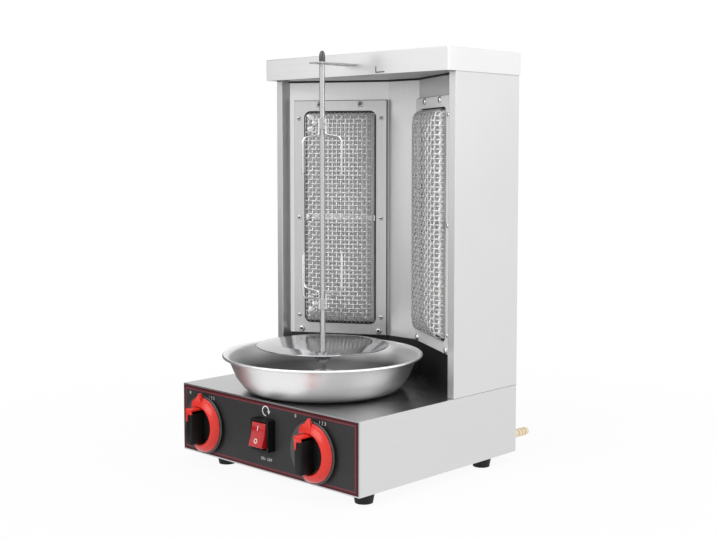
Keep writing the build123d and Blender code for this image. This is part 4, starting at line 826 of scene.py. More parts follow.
# ---------------------------------------------------------------- housing
@dataclass
class Housing:
    """Base box, body, cap and the sheet metal inside them."""

    fold: float = 1.2
    cut_edge: float = 0.25
    liner_edge: Pair = (130.7, 19.66)
    liner_fold: Pair = (24.18, 81.15)
    ceiling_z: float = 435.0
    gap_radius: float = 1.05
    relief_x: float = 38.4
    relief_rise: float = 7.0
    relief_length: float = 13.5
    relief_z: float = 436.5
    relief_cut: float = 1.2
    cap_front: float = -8.35
    sheet: float = 1.2

    def build(self) -> None:
        """Round the folded sheets and coat the rest."""
        soften("base_cover", BASE_STEEL, "chassis", self.fold, self.cut_edge)
        soften("top_cap", CAP_STEEL, "chassis", self.fold, self.cut_edge)
        soften("left_side_panel", BODY_STEEL, "chassis", self.fold, self.cut_edge)
        soften("right_side_panel", BODY_STEEL, "chassis", self.fold, self.cut_edge)
        coat(PLAIN_STEEL, "base_tray", "control_panel", "back_panel", "motor_bracket")
        coat(CEILING_STEEL, "ceiling_plate")
        coat(LINER_STEEL, "reflector_liner")
        coat(BLACK_SHEET, "lower_skirt")
        coat(FOOT_RUBBER, *(f"foot_{end}_{side}" for end in ("front", "back") for side in ("left", "right")))
        coat(SCREW_STEEL, "foot_screws", "back_panel_screws", "motor_screws", "holder_studs")
        coat(MOTOR_METAL, "motor", "gearbox")
        coat(BRASS, "left_jet", "right_jet", "left_gas_valve", "right_gas_valve", "left_valve_sleeve",
             "right_valve_sleeve", "shaft_bush")
        coat(NOZZLE_BRASS, "hose_nozzle")
        coat(PIPE_METAL, "gas_manifold", "left_feed_pipe", "right_feed_pipe")
        coat(ROD_STEEL, "drive_shaft", "left_valve_stem", "right_valve_stem")
        coat(BLACK_PLASTIC, "power_inlet")
        self.liner_gap_shadow()
        self.relief()

    def liner_gap_shadow(self) -> None:
        """Painted shadow: a dark wire along the top of the liner, where shade falls in the gap under the ceiling."""
        shape = Shape()
        (edge_x, edge_y), (fold_x, fold_y) = self.liner_edge, self.liner_fold
        level = self.ceiling_z - self.gap_radius
        back = self.gap_radius * 1.3
        points = [(-edge_x, edge_y - back, level), (-fold_x, fold_y - back, level), (fold_x, fold_y - back, level),
                  (edge_x, edge_y - back, level)]
        shape.wire(points, (0.5, 0.5), self.gap_radius, sides=8)
        shape.piece("liner_gap_shadow", SHADOW_STEEL, "chassis")

    def relief(self) -> None:
        """Painted shadow: dark boxes inside the L-shaped relief in the cap front, where shade falls."""
        shape = Shape()
        front = self.cap_front + 0.1
        back = self.cap_front + self.sheet
        x, z, cut = self.relief_x, self.relief_z, self.relief_cut
        shape.box((x - 0.4, front, z - 0.4), (x + cut + 0.3, back, z + self.relief_rise))
        shape.box((x + cut * 0.5, front, z - 0.4), (x + self.relief_length, back, z + cut + 0.3))
        shape.piece("relief_shadow", SHADOW_STEEL, "chassis")


# ---------------------------------------------------------------- burners
@dataclass
class Burner:
    """One burner: frame, woven guard and tiles."""

    side: str
    sign: int
    centre: Point = (75.3, 51.65, 270.5)
    angle: float = 30.0
    frame_width: float = 114.5
    frame_height: float = 281.0
    frame_front: float = 4.5
    guard_width: float = 86.2
    guard_height: float = 253.6
    guard_corner: float = 8.0
    guard_reach: float = 15.6
    guard_shoulder: float = 26.0
    wire_pitch: float = 5.15
    wire_radius: float = 0.8
    wire_sides: int = 6
    wire_steps: int = 4
    rim_back: float = 1.5
    rim_front: float = 2.5
    # How far the dark rim shows past the frame: painted shadow.
    shadow_margin: float = 0.7
    seam_half: float = 3.6

    def place(self) -> Matrix:
        """Return the burner's own place, in millimetres."""
        x, y, z = self.centre
        turn = Matrix.Rotation(math.radians(-self.sign * self.angle), 4, "Z")
        return Matrix.Translation((self.sign * x, y, z)) @ turn

    def build(self) -> None:
        """Build the guard and coat the rest."""
        ceramic = PerforatedCeramic(
            f"{self.side}_ceramic", "ceramic", (0.80, 0.795, 0.78),
            centre=tuple(value * MM for value in self.place().translation),
            turn=math.radians(-self.sign * self.angle))
        coat(ceramic, f"{self.side}_ceramic_tiles")
        # The right burner's frame gets the brighter copy of the frame steel: painted light.
        steel = FRAME_STEEL if self.sign < 0 else PAINTED_LIGHT_FRAME_STEEL
        soften(f"{self.side}_burner_frame", steel, "chassis", 0.0, 0.35)
        coat(steel, f"{self.side}_burner_box")
        self.guard()
        self.rim()
        self.seam_bar()

    def wires(self, shape: Shape, along: float, across: float, upright: bool) -> None:
        """Weave one set of parallel wires, flat in the XZ plane.

        Args:
            shape: the mesh to add to.
            along: length of the wires.
            across: width that they fill.
            upright: whether they run up.
        """
        step_length = self.wire_pitch / self.wire_steps
        count = 2 * int(across / 2 / self.wire_pitch) + 1
        steps = int(along / step_length)
        ring = bmesh.ops.create_circle(shape.bm, cap_ends=False, segments=self.wire_sides,
                                       radius=self.wire_radius)["verts"]
        made = list(ring)
        edges = list({edge for vert in ring for edge in vert.link_edges})
        start = -steps * step_length / 2
        swing = self.wire_radius * 0.85
        height = swing * math.cos(math.pi * start / self.wire_pitch)
        bmesh.ops.translate(shape.bm, vec=(0, height, start), verts=ring)
        for step in range(1, steps + 1):
            out = bmesh.ops.extrude_edge_only(shape.bm, edges=edges)["geom"]
            ring = shape.verts_of(out)
            found = set(ring)
            edges = [item for item in out if isinstance(item, bmesh.types.BMEdge)
                     and all(vert in found for vert in item.verts)]
            level = swing * math.cos(math.pi * (start + step * step_length) / self.wire_pitch)
            bmesh.ops.translate(shape.bm, vec=(0, level - height, step_length), verts=ring)
            height = level
            made += ring
        if not upright:
            bmesh.ops.rotate(shape.bm, cent=(0, 0, 0), matrix=Matrix.Rotation(math.pi / 2, 3, "Y"), verts=made)
            bmesh.ops.scale(shape.bm, vec=(1, -1, 1), verts=made)
        step_out = Vector((1, 0, 0)) if upright else Vector((0, 0, 1))
        original = made + list({face for vert in made for face in vert.link_faces})
        half = count // 2
        for index in [number for number in range(-half, half + 1) if number]:
            copy = bmesh.ops.duplicate(shape.bm, geom=original)["geom"]
            verts = shape.verts_of(copy)
            bmesh.ops.translate(shape.bm, vec=step_out * (index * self.wire_pitch), verts=verts)
            if index % 2:
                bmesh.ops.scale(shape.bm, vec=(1, -1, 1), verts=verts)

    def depth_inside(self, x: float, z: float) -> float:
        """Return the distance from a point to the basket's rounded foot line, positive inside."""
        over_x = abs(x) - self.guard_width / 2 + self.guard_corner
        over_z = abs(z) - self.guard_height / 2 + self.guard_corner
        outside = math.hypot(max(over_x, 0.0), max(over_z, 0.0))
        return self.guard_corner - outside - min(max(over_x, over_z), 0.0)

    def guard(self) -> None:
        """Woven wire basket with rounded shoulders, in place of the CAD guard."""
        shape = Shape()
        self.wires(shape, self.guard_height, self.guard_width, upright=True)
        self.wires(shape, self.guard_width, self.guard_height, upright=False)
        stray = []
        for vert in shape.bm.verts:
            inside = self.depth_inside(vert.co.x, vert.co.z)
            if inside < -0.4:
                stray.append(vert)
                continue
            share = min(1.0, max(0.0, inside / self.guard_shoulder))
            rise = self.guard_reach * math.sqrt(1.0 - (1.0 - share) ** 2)
            vert.co.y -= self.frame_front + rise - 0.4
        bmesh.ops.delete(shape.bm, geom=stray, context="VERTS")
        shape.piece(f"{self.side}_woven_guard", GUARD_WIRE, "chassis", (f"{self.side}_burner_guard",),
                    smooth=60.0, place=self.place())

    def rim(self) -> None:
        """Flat rim of the guard under the burner frame, a little larger than the frame, in the dark finish: painted
        shadow round the window.
        """
        shape = Shape()
        plate = bmesh.ops.create_grid(shape.bm, x_segments=1, y_segments=1, size=0.5)["verts"]
        width, height = self.frame_width + 2 * self.shadow_margin, self.frame_height + 2 * self.shadow_margin
        bmesh.ops.scale(shape.bm, vec=(width, height, 1), verts=plate)
        bmesh.ops.rotate(shape.bm, cent=(0, 0, 0), matrix=Matrix.Rotation(math.pi / 2, 3, "X"), verts=plate)
        bmesh.ops.translate(shape.bm, vec=(0, -self.rim_front, 0), verts=plate)
        face = list({face for vert in plate for face in vert.link_faces})
        border = (width - self.guard_width) / 2 + 0.8
        inset = bmesh.ops.inset_region(shape.bm, faces=face, thickness=border, use_boundary=True,
                                       use_even_offset=True)["faces"]
        bmesh.ops.delete(shape.bm, geom=face, context="FACES_ONLY")
        out = bmesh.ops.extrude_face_region(shape.bm, geom=inset)["geom"]
        bmesh.ops.translate(shape.bm, vec=(0, self.rim_front - self.rim_back, 0), verts=shape.verts_of(out))
        shape.piece(f"{self.side}_guard_rim_shadow", SHADOW_STEEL, "chassis", place=self.place())

    def seam_bar(self) -> None:
        """Bright strip over the joint between the two tiles."""
        shape = Shape()
        half = self.guard_width / 2
        shape.box((-half, -3.1, -self.seam_half), (half, -1.6, self.seam_half), bevel=0.5)
        shape.piece(f"{self.side}_seam_bar", SCREW_STEEL, "chassis", place=self.place())


@dataclass
class BurnerScrews:
    """Small and large pan-head screws of both burners."""

    burners: Sequence[Burner]
    small: Pair = (51.0, 119.5)
    small_radius: float = 2.6
    small_height: float = 1.5
    large_height_z: float = 136.2
    large_top_x: float = 25.2
    large_bottom_x: float = 48.0
    large_radius: float = 3.8
    large_height: float = 2.6
    socket: float = 0.5
    shank: float = 3.0

    def points(self) -> list[tuple[float, float, float, float]]:
        """Return (x, z, radius, height) of each screw on one burner."""
        x, z = self.small
        small = [(sx * x, level, self.small_radius, self.small_height) for sx in (-1, 1) for level in (-z, 0, z)]
        large = [(sign * self.large_top_x, self.large_height_z, self.large_radius, self.large_height)
                 for sign in (-1, 1)]
        large += [(sign * self.large_bottom_x, -self.large_height_z, self.large_radius, self.large_height)
                  for sign in (-1, 1)]
        return small + large

    def head(self, radius: float, height: float) -> Shape:
        """Domed head with a round socket, its seat at the origin and its top along -Y.

        Args:
            radius: the head's radius.
            height: its height.

        Returns:
            The shape.
        """
        shape = Shape()
        socket = radius * self.socket
        profile = [(0.0, height * 0.3), (socket * 0.94, height * 0.3), (socket, height * 0.93),
                   (socket * 1.12, height), (radius * 0.75, height * 0.86), (radius * 0.94, height * 0.55),
                   (radius, height * 0.2), (radius, 0.0), (0.0, 0.0)]
        shape.lathe(profile, steps=24, closed=False)
        shape.cylinder((0, 0, -self.shank), (0, 0, 0), radius * 0.5, segments=16)
        return shape

    def build(self) -> None:
        """Make all screw heads as one piece, and the painted shade in their sockets as another."""
        heads, socket_shadows = Shape(), Shape()
        for burner in self.burners:
            for x, z, radius, height in self.points():
                seat = Matrix.Translation((x, -burner.frame_front, z)) @ Matrix.Rotation(math.pi / 2, 4, "X")
                heads.absorb(self.head(radius, height), burner.place() @ seat)
                # A dark disc in each socket: painted shade in the recess.
                dark = Shape()
                dark.cylinder((0, 0, height * 0.28), (0, 0, height * 0.42), radius * self.socket * 0.93, segments=6)
                socket_shadows.absorb(dark, burner.place() @ seat)
        heads.piece("burner_screw_heads", SCREW_STEEL, "chassis", ("burner_screws",))
        socket_shadows.piece("burner_socket_shadows", SHADOW_STEEL, "chassis")


# ---------------------------------------------------------------- spit
@dataclass
class Spit:
    """Rod, disc, tip and holder."""

    axis_y: float = -52.35
    disc_z: float = 135.5
    disc_radius: float = 73.4
    disc_top_radius: float = 56.0
    disc_rise: float = 3.0
    disc_sheet: float = 1.2
    hub_radius: float = 9.0
    hub_foot: float = 121.0
    rod_radius: float = 3.0
    tip_z: float = 460.5
    tip_length: float = 12.5

    def build(self) -> None:
        """Build the disc and the dark tip, coat the rest."""
        coat(ROD_STEEL, "spit_rod")
        soften("spit_holder", HUB_STEEL, "chassis", 0.0, 0.3)
        self.disc()
        self.tip()

    def disc(self) -> None:
        """Dished disc with a softly rolled step and edge."""
        shape = Shape()
        top = self.disc_rise + self.disc_sheet
        outer, inner = self.disc_radius, self.disc_top_radius
        slope = outer - 1.5
        profile = [(self.rod_radius, top), (inner - 1.0, top), (inner - 0.3, top - 0.12), (slope - 1.2, 1.6),
                   (slope, 1.25), (outer - 0.5, 1.2), (outer, 0.8), (outer, 0.4), (outer - 0.5, 0.0),
                   (slope, 0.0), (inner, self.disc_rise - 0.1), (self.hub_radius, self.disc_rise),
                   (self.hub_radius, self.hub_foot - self.disc_z), (self.rod_radius, self.hub_foot - self.disc_z)]
        shape.lathe(profile, steps=144)
        shape.piece("polished_disc", DISC_STEEL, "spit", ("meat_disc",), smooth=25.0,
                    place=Matrix.Translation((0, self.axis_y, self.disc_z)))

    def tip(self) -> None:
        """Dark bullet cap over the end of the rod."""
        shape = Shape()
        radius = self.rod_radius + 0.35
        end = self.tip_length
        profile = [(radius * 0.98, 0.0), (radius, 0.6), (radius, end * 0.5), (radius * 0.93, end * 0.66),
                   (radius * 0.75, end * 0.82), (radius * 0.42, end * 0.95), (0.0, end)]
        shape.lathe([(0.0, 0.0)] + profile, steps=32, closed=False)
        shape.piece("rod_tip", TIP_STEEL, "spit", smooth=50.0,
                    place=Matrix.Translation((0, self.axis_y, self.tip_z - self.tip_length)))


@dataclass
class Fork:
    """Four-pronged fork on the rod: hub, bent wires and set screw, with its wing screw."""

    name: str
    level: float
    upside_down: bool
    axis_y: float = -52.35
    hub_radius: float = 5.0
    hub_height: float = 13.0
    bore: float = 3.2
    wire_radius: float = 1.15
    inset: float = 5.4
    reach: float = 30.0
    root_bend: float = 3.2
    prong_bend: float = 6.5
    slope: float = 1.6
    long_arm: float = 8.0
    short_arm: float = 1.5
    prong: float = 47.0
    point: float = 3.0
    azimuth: float = 225.0

    def place(self) -> Matrix:
        """Return the fork's place on the rod."""
        at = Matrix.Translation((0, self.axis_y, self.level))
        if self.upside_down:
            return at @ Matrix.Rotation(math.pi, 4, "X") @ Matrix.Rotation(math.radians(-2 * self.azimuth), 4, "Z")
        return at

    def build(self) -> None:
        """Build the fork and its wing screw."""
        self.hub()
        self.wires()
        self.wing_screw()

    def hub(self) -> None:
        """Turned hub with a set screw."""
        shape = Shape()
        outer, top = self.hub_radius, self.hub_height
        shape.lathe([(self.bore, 0.0), (outer - 0.5, 0.0), (outer, 0.5), (outer, top - 0.5), (outer - 0.5, top),
                     (self.bore, top)], steps=40)
        screw = Shape()
        screw.lathe([(0.0, 0.9), (0.5, 0.9), (0.8, 1.5), (1.6, 1.2), (1.7, 0.4), (1.7, -0.6), (0.0, -0.6)], steps=20,
                    closed=False)
        turn = math.radians(-5.0 if not self.upside_down else 95.0)
        seat = (Matrix.Translation((outer * math.cos(turn), outer * math.sin(turn), top / 2))
                @ Matrix.Rotation(turn, 4, "Z") @ Matrix.Rotation(math.pi / 2, 4, "Y"))
        shape.absorb(screw, seat)
        shape.piece(f"{self.name}_hub", HUB_STEEL, f"{self.name}_body", place=self.place())

    def wires(self) -> None:
        """Four bent prongs."""
        top = self.hub_height
        shape = Shape()
        for index in range(4):
            long_pair = index % 2 == 0
            arm = top + (self.long_arm if long_pair else self.short_arm)
            low, high = arm - self.slope, arm + self.slope
            end = top + self.prong
            prong = Shape()
            points = [(self.inset, 0, 1.0), (self.inset, 0, low), (self.reach, 0, high), (self.reach, 0, end),
                      (self.reach, 0, end + self.point)]
            bend = min(self.root_bend, 0.8 * (arm - top))
            prong.wire(points, (bend, self.prong_bend, 0.05), self.wire_radius, tip=0.3)
            shape.absorb(prong, Matrix.Rotation(math.radians(90 * index), 4, "Z"))
        shape.piece(f"{self.name}_wires", FORK_STEEL, f"{self.name}_body", (self.name,), smooth=40.0,
                    place=self.place())

    def wing_screw(self) -> None:
        """Wing screw with two rounded, spread lobes."""
        shape = Shape()
        shape.lathe([(0.0, 3.3), (1.6, 3.3), (1.9, 3.7), (1.9, 7.4), (3.1, 7.5), (3.5, 8.2), (3.1, 11.0), (2.2, 12.0),
                     (0.0, 12.2)], steps=32, closed=False)
        for sign in (-1, 1):
            shape.cylinder((sign * 1.2, 0, 9.6), (sign * 6.0, 0, 12.4), 1.5, tip=1.1, segments=16)
            lobe = bmesh.ops.create_uvsphere(shape.bm, u_segments=24, v_segments=14, radius=1.0)["verts"]
            bmesh.ops.scale(shape.bm, vec=(3.0, 0.95, 4.3), verts=lobe)
            bmesh.ops.rotate(shape.bm, cent=(0, 0, 0), matrix=Matrix.Rotation(sign * math.radians(32), 3, "Y"),
                             verts=lobe)
            bmesh.ops.translate(shape.bm, vec=(sign * 6.2, 0, 12.6), verts=lobe)
        turn = Matrix.Rotation(math.radians(self.azimuth), 4, "Z") @ Matrix.Rotation(math.pi / 2, 4, "Y")
        middle = Matrix.Translation((0, 0, self.hub_height / 2))
        body = self.name.replace("fork", "wing")
        shape.piece(f"{body}_thumb_screw", WING_STEEL, body, (f"{body}_screw",), smooth=45.0,
                    place=self.place() @ middle @ turn)


# ---------------------------------------------------------------- pan
@dataclass
class DripPan:
    """Spun drip pan with a rounded shoulder and a rolled rim."""

    axis_y: float = -52.35
    floor_z: float = 86.8
    collar: Pair = (18.0, 14.0)
    floor_radius: float = 84.0
    shoulder: Pair = (98.5, 22.0)
    lip: Pair = (105.0, 37.8)
    rim_radius: float = 111.2
    height: float = 41.0
    sheet: float = 1.0
    bead: float = 1.6

    def outline(self) -> list[Pair]:
        """Return the pan's outside, from collar to rim."""
        collar_radius, collar_height = self.collar
        foot, (mid, mid_z), (lip, lip_z) = self.floor_radius, self.shoulder, self.lip
        return [(collar_radius, collar_height), (collar_radius, 1.0), (collar_radius + 1.0, 0.0), (foot - 12.0, 0.2),
                (foot - 4.0, 1.0), (foot, 2.4), (foot + 4.0, 5.8), (foot + 8.4, 11.4), (mid - 2.4, mid_z - 5.6),
                (mid, mid_z),
                (mid + 3.6, mid_z + 8.6), (lip - 0.4, lip_z - 1.6), (lip + 0.6, lip_z - 0.2),
                (self.rim_radius - 2.6, self.height - 2.2)]

    def build(self) -> None:
        """Spin the pan."""
        shape = Shape()
        outside = self.outline()
        inside = [(radius - self.sheet, height + 0.25) for radius, height in reversed(outside[4:-1])]
        inside += [(self.floor_radius - 4.2, self.sheet), (self.collar[0] + 2.0, self.sheet),
                   (self.collar[0] + 1.0, self.sheet + 1.0), (self.collar[0] + 1.0, self.collar[1])]
        centre = (self.rim_radius - self.bead, self.height - self.bead)
        bead = [(centre[0] + self.bead * math.cos(angle), centre[1] + self.bead * math.sin(angle))
                for angle in (math.radians(value) for value in range(-90, 121, 30))]
        shape.lathe(outside + bead + inside, steps=160)
        shape.piece("spun_pan", PAN_STEEL, "pan", ("drip_pan",), smooth=40.0,
                    place=Matrix.Translation((0, self.axis_y, self.floor_z)))


# ---------------------------------------------------------------- controls
@dataclass
class GasKnob:
    """Gas knob: skirt, grip bar, red ring, pointer and stripe."""

    side: str
    x: float
    plane_y: float = -138.35
    z: float = 45.5
    skirt_radius: float = 32.4
    skirt_back: float = 3.7
    skirt_thickness: float = 2.3
    ring_outer: float = 30.6
    ring_inner: float = 21.4
    ring_depth: float = 7.3
    grip_width: float = 10.0
    grip_height: float = 39.0
    grip_reach: float = 25.5
    pointer_radius: float = 36.0
    pointer_width: float = 17.0
    stem_radius: float = 3.2
    ring_span: Pair = (118.0, -102.0)
    stripe_length: float = 13.0

    def place(self) -> Matrix:
        """Return the knob's place: local Z points out of the panel, local Y up."""
        turn = Matrix.Rotation(math.pi / 2, 4, "X")
        return Matrix.Translation((self.x, self.plane_y, self.z)) @ turn

    def build(self) -> None:
        """Build the knob's three mouldings."""
        self.skirt()
        self.grip()
        self.ring()

    def skirt(self) -> None:
        """Dark skirt with a rounded edge and a shallow dish."""
        shape = Shape()
        back = self.skirt_back
        face = back + self.skirt_thickness
        radius = self.skirt_radius
        profile = [(self.stem_radius, back), (radius - 0.8, back), (radius, back + 0.7), (radius, face - 0.9),
                   (radius - 0.9, face), (self.ring_inner, face), (self.ring_inner - 0.8, face + 0.6),
                   (self.ring_inner * 0.8, face + 0.2), (self.stem_radius, face)]
        shape.lathe(profile, steps=120)
        shape.piece(f"{self.side}_knob_skirt", SKIRT_PLASTIC, f"{self.side}_knob", place=self.place())

    def grip(self) -> None:
        """Black grip bar with a rounded boss under it."""
        shape = Shape()
        face = self.skirt_back + self.skirt_thickness
        half = self.grip_height / 2
        shape.lathe([(0.0, face - 0.6), (half * 0.92, face - 0.6), (half * 0.92, face + 0.9), (half * 0.8, face + 1.7),
                     (0.0, face + 1.9)], steps=72, closed=False)
        shape.box((-self.grip_width / 2, -half, face - 0.5), (self.grip_width / 2, half, self.grip_reach), bevel=1.3)
        shape.piece(f"{self.side}_grip_bar", BLACK_PLASTIC, f"{self.side}_knob", (f"{self.side}_knob_grip",),
                    place=self.place())

    def section(self) -> list[Pair]:
        """Return the section of the red ring, as (radius, height) points."""
        face = self.skirt_back + self.skirt_thickness
        inner, outer, depth = self.ring_inner, self.ring_outer, self.ring_depth
        return [(inner, face), (outer - 0.3, face), (outer, face + 0.6), (outer - 0.4, face + 1.8),
                (outer - 3.2, face + depth * 0.66), (inner + 2.2, face + depth * 0.95), (inner + 1.2, face + depth),
                (inner + 0.4, face + depth - 0.3), (inner, face + depth - 1.0)]

    def ring(self) -> None:
        """Red ring, open on one side, with its pointer, fin and stripe."""
        shape = Shape()
        start, end = (math.radians(value) for value in self.ring_span)
        verts = [shape.bm.verts.new((radius * math.cos(start), radius * math.sin(start), height))
                 for radius, height in self.section()]
        cap = shape.bm.faces.new(verts)
        bmesh.ops.spin(shape.bm, geom=[cap], cent=(0, 0, 0), axis=(0, 0, 1), angle=end - start, steps=90,
                       use_merge=False)
        half = self.grip_height / 2
        face = self.skirt_back + self.skirt_thickness
        reach = self.grip_reach + 0.8
        shape.box((-self.grip_width / 2, half - 5.0, face), (self.grip_width / 2, half + 1.2, reach), bevel=0.9)
        stripe = shape.box((-4.4, half - self.stripe_length, self.grip_reach - 0.6), (-0.6, half - 3.0, reach - 0.1))
        for vert in stripe:
            if vert.co.y < half - self.stripe_length + 0.1:
                vert.co.x = -2.6 + (vert.co.x + 2.5) * 0.45
        self.pointer(shape, face)
        shape.piece(f"{self.side}_red_ring", RED_PLASTIC, f"{self.side}_knob", (f"{self.side}_knob_ring",),
                    place=self.place())

    def pointer(self, shape: Shape, face: float) -> None:
        """Swept tip that points up from the ring.

        Args:
            shape: the mesh to add to.
            face: height of the skirt's face.
        """
        top = face + self.ring_depth
        rise = self.pointer_radius - self.ring_inner
        wedge = shape.box((-0.5, 0, 0), (0.5, 1, 1))
        bmesh.ops.scale(shape.bm, vec=(self.pointer_width, rise, self.ring_depth * 0.8), verts=wedge)
        for vert in wedge:
            if vert.co.y > rise / 2:
                vert.co.x = vert.co.x * 0.05 + 1.0
                vert.co.z *= 0.7
        bmesh.ops.translate(shape.bm, vec=(-1.0, self.ring_inner, top - self.ring_depth * 0.8), verts=wedge)
        edges = list({edge for vert in wedge for edge in vert.link_edges})
        bmesh.ops.bevel(shape.bm, geom=edges, offset=0.35, segments=2, profile=0.5, affect="EDGES", material=-1)


@dataclass
class RockerSwitch:
    """Black bezel and red rocker with its two marks."""

    x: float = 3.0
    plane_y: float = -138.35
    z: float = 51.5
    bezel: Pair = (28.0, 34.0)
    reach: float = 10.5
    wall: float = 2.9
    rocker_width: float = 21.4
    rocker_half: float = 13.0
    rocker_face: float = 6.0
    pivot_reach: float = 8.5
    tilt: float = -13.0

    def build(self) -> None:
        """Coat the housing and build the rocker."""
        coat(BLACK_PLASTIC, "switch_housing")
        self.rocker()
        self.marks()

    def rocker_place(self) -> Matrix:
        """Return the rocker's place on its pivot."""
        pivot = Matrix.Translation((self.x, self.plane_y - self.pivot_reach, self.z))
        return pivot @ Matrix.Rotation(math.radians(self.tilt), 4, "X")

    def rocker(self) -> None:
        """Red rocker with a shallow V face."""
        shape = Shape()
        half = self.rocker_half
        width = self.rocker_width / 2
        shape.box((-width, -self.rocker_face, -half), (width, 3.0, half), bevel=0.9)
        front = [vert for vert in shape.bm.verts if vert.co.y < -self.rocker_face + 1.0]
        edges = [edge for edge in shape.bm.edges if all(vert in front for vert in edge.verts)
                 and abs(edge.verts[0].co.z - edge.verts[1].co.z) > half]
        cut = bmesh.ops.subdivide_edges(shape.bm, edges=edges, cuts=3, use_grid_fill=True)
        del cut
        for vert in shape.bm.verts:
            if vert.co.y < -self.rocker_face + 1.0:
                vert.co.y += 1.3 * (1.0 - abs(vert.co.z) / half)
        shape.piece("red_rocker", RED_LENS, "rocker", ("switch_rocker",), place=self.rocker_place())

    def marks(self) -> None:
        """The line and ring marks of the two positions."""
        shape = Shape()
        front = -self.rocker_face - 0.02
        shape.box((-0.55, front, 4.2), (0.55, front + 0.6, 9.4), bevel=0.15)
        ring = Shape()
        ring.lathe([(1.7, 0.0), (2.6, 0.0), (2.6, 0.5), (1.7, 0.5)], steps=40)
        ring.move(Matrix.Translation((0, front + 0.5, -6.6)) @ Matrix.Rotation(math.pi / 2, 4, "X"))
        mesh = bpy.data.meshes.new("ring_scratch")
        ring.bm.to_mesh(mesh)
        ring.bm.free()
        shape.bm.from_mesh(mesh)
        bpy.data.meshes.remove(mesh)
        shape.piece("rocker_marks", WHITE_PRINT, "rocker", place=self.rocker_place())


@dataclass
class FrontPanel:
    """Printed plate with its border and marks."""

    half_width: float = 138.5
    low_z: float = 11.5
    high_z: float = 85.0
    front_y: float = -138.85

    def build(self) -> None:
        """Coat the plate and set its marks."""
        middle = (self.low_z + self.high_z) / 2
        plate = PrintedPlate("printed_plate", "panel_print", (0.036, 0.036, 0.037),
                             centre=(0.0, 0.0, middle * MM), half_width=self.half_width * MM,
                             half_height=(self.high_z - self.low_z) / 2 * MM)
        coat(plate, "panel_overlay")
        for name, text, size, x, z in (
                ("left_low_mark", "0", 5.0, -127.0, 75.5), ("left_high_marks", "1 2 3", 5.2, -89.0, 74.5),
                ("right_low_mark", "0", 5.0, 48.5, 76.5), ("right_high_marks", "1 2 3", 5.2, 88.5, 75.0),
                ("switch_words", "ON  OFF", 4.6, 3.0, 22.6)):
            self.word(name, text, size, x, z)
        self.turn_arrow()

    def word(self, name: str, text: str, size: float, x: float, z: float) -> None:
        """Print a plain mark on the plate.

        Args:
            name: the piece's name.
            text: number or word.
            size: height of the letters.
            x: middle across.
            z: base line.
        """
        curve = bpy.data.curves.new(name, "FONT")
        curve.body = text
        curve.size = size
        curve.align_x = "CENTER"
        curve.extrude = 0.04
        curve.resolution_u = 3
        source = bpy.data.objects.new(name + "_source", curve)
        bpy.context.scene.collection.objects.link(source)
        bpy.context.view_layer.update()
        mesh = bpy.data.meshes.new_from_object(source)
        bpy.data.objects.remove(source)
        shape = Shape()
        shape.bm.from_mesh(mesh)
        bpy.data.meshes.remove(mesh)
        place = Matrix.Translation((x, self.front_y, z)) @ Matrix.Rotation(math.pi / 2, 4, "X")
        shape.piece(name, WHITE_PRINT, "chassis", place=place)

    def turn_arrow(self) -> None:
        """A round arrow above the switch, for the turning spit."""
        shape = Shape()
        inner, outer, depth = 4.3, 5.6, 0.05
        face = [shape.bm.verts.new(point) for point in
                ((inner, 0, 0), (outer, 0, 0), (outer, 0, depth), (inner, 0, depth))]
        section = shape.bm.faces.new(face)
        bmesh.ops.spin(shape.bm, geom=[section], cent=(0, 0, 0), axis=(0, 0, 1), angle=math.radians(280),
                       steps=28, use_merge=False)
        head = shape.cylinder((0, 0, 0), (0, 0, depth), 2.6, segments=3)
        bmesh.ops.rotate(shape.bm, cent=(0, 0, 0), matrix=Matrix.Rotation(math.radians(-60), 3, "Z"), verts=head)
        bmesh.ops.translate(shape.bm, vec=((inner + outer) / 2, -0.8, 0), verts=head)
        place = Matrix.Translation((2.0, self.front_y, 76.0)) @ Matrix.Rotation(math.pi / 2, 4, "X")
        shape.piece("turn_arrow", WHITE_PRINT, "chassis", place=place)


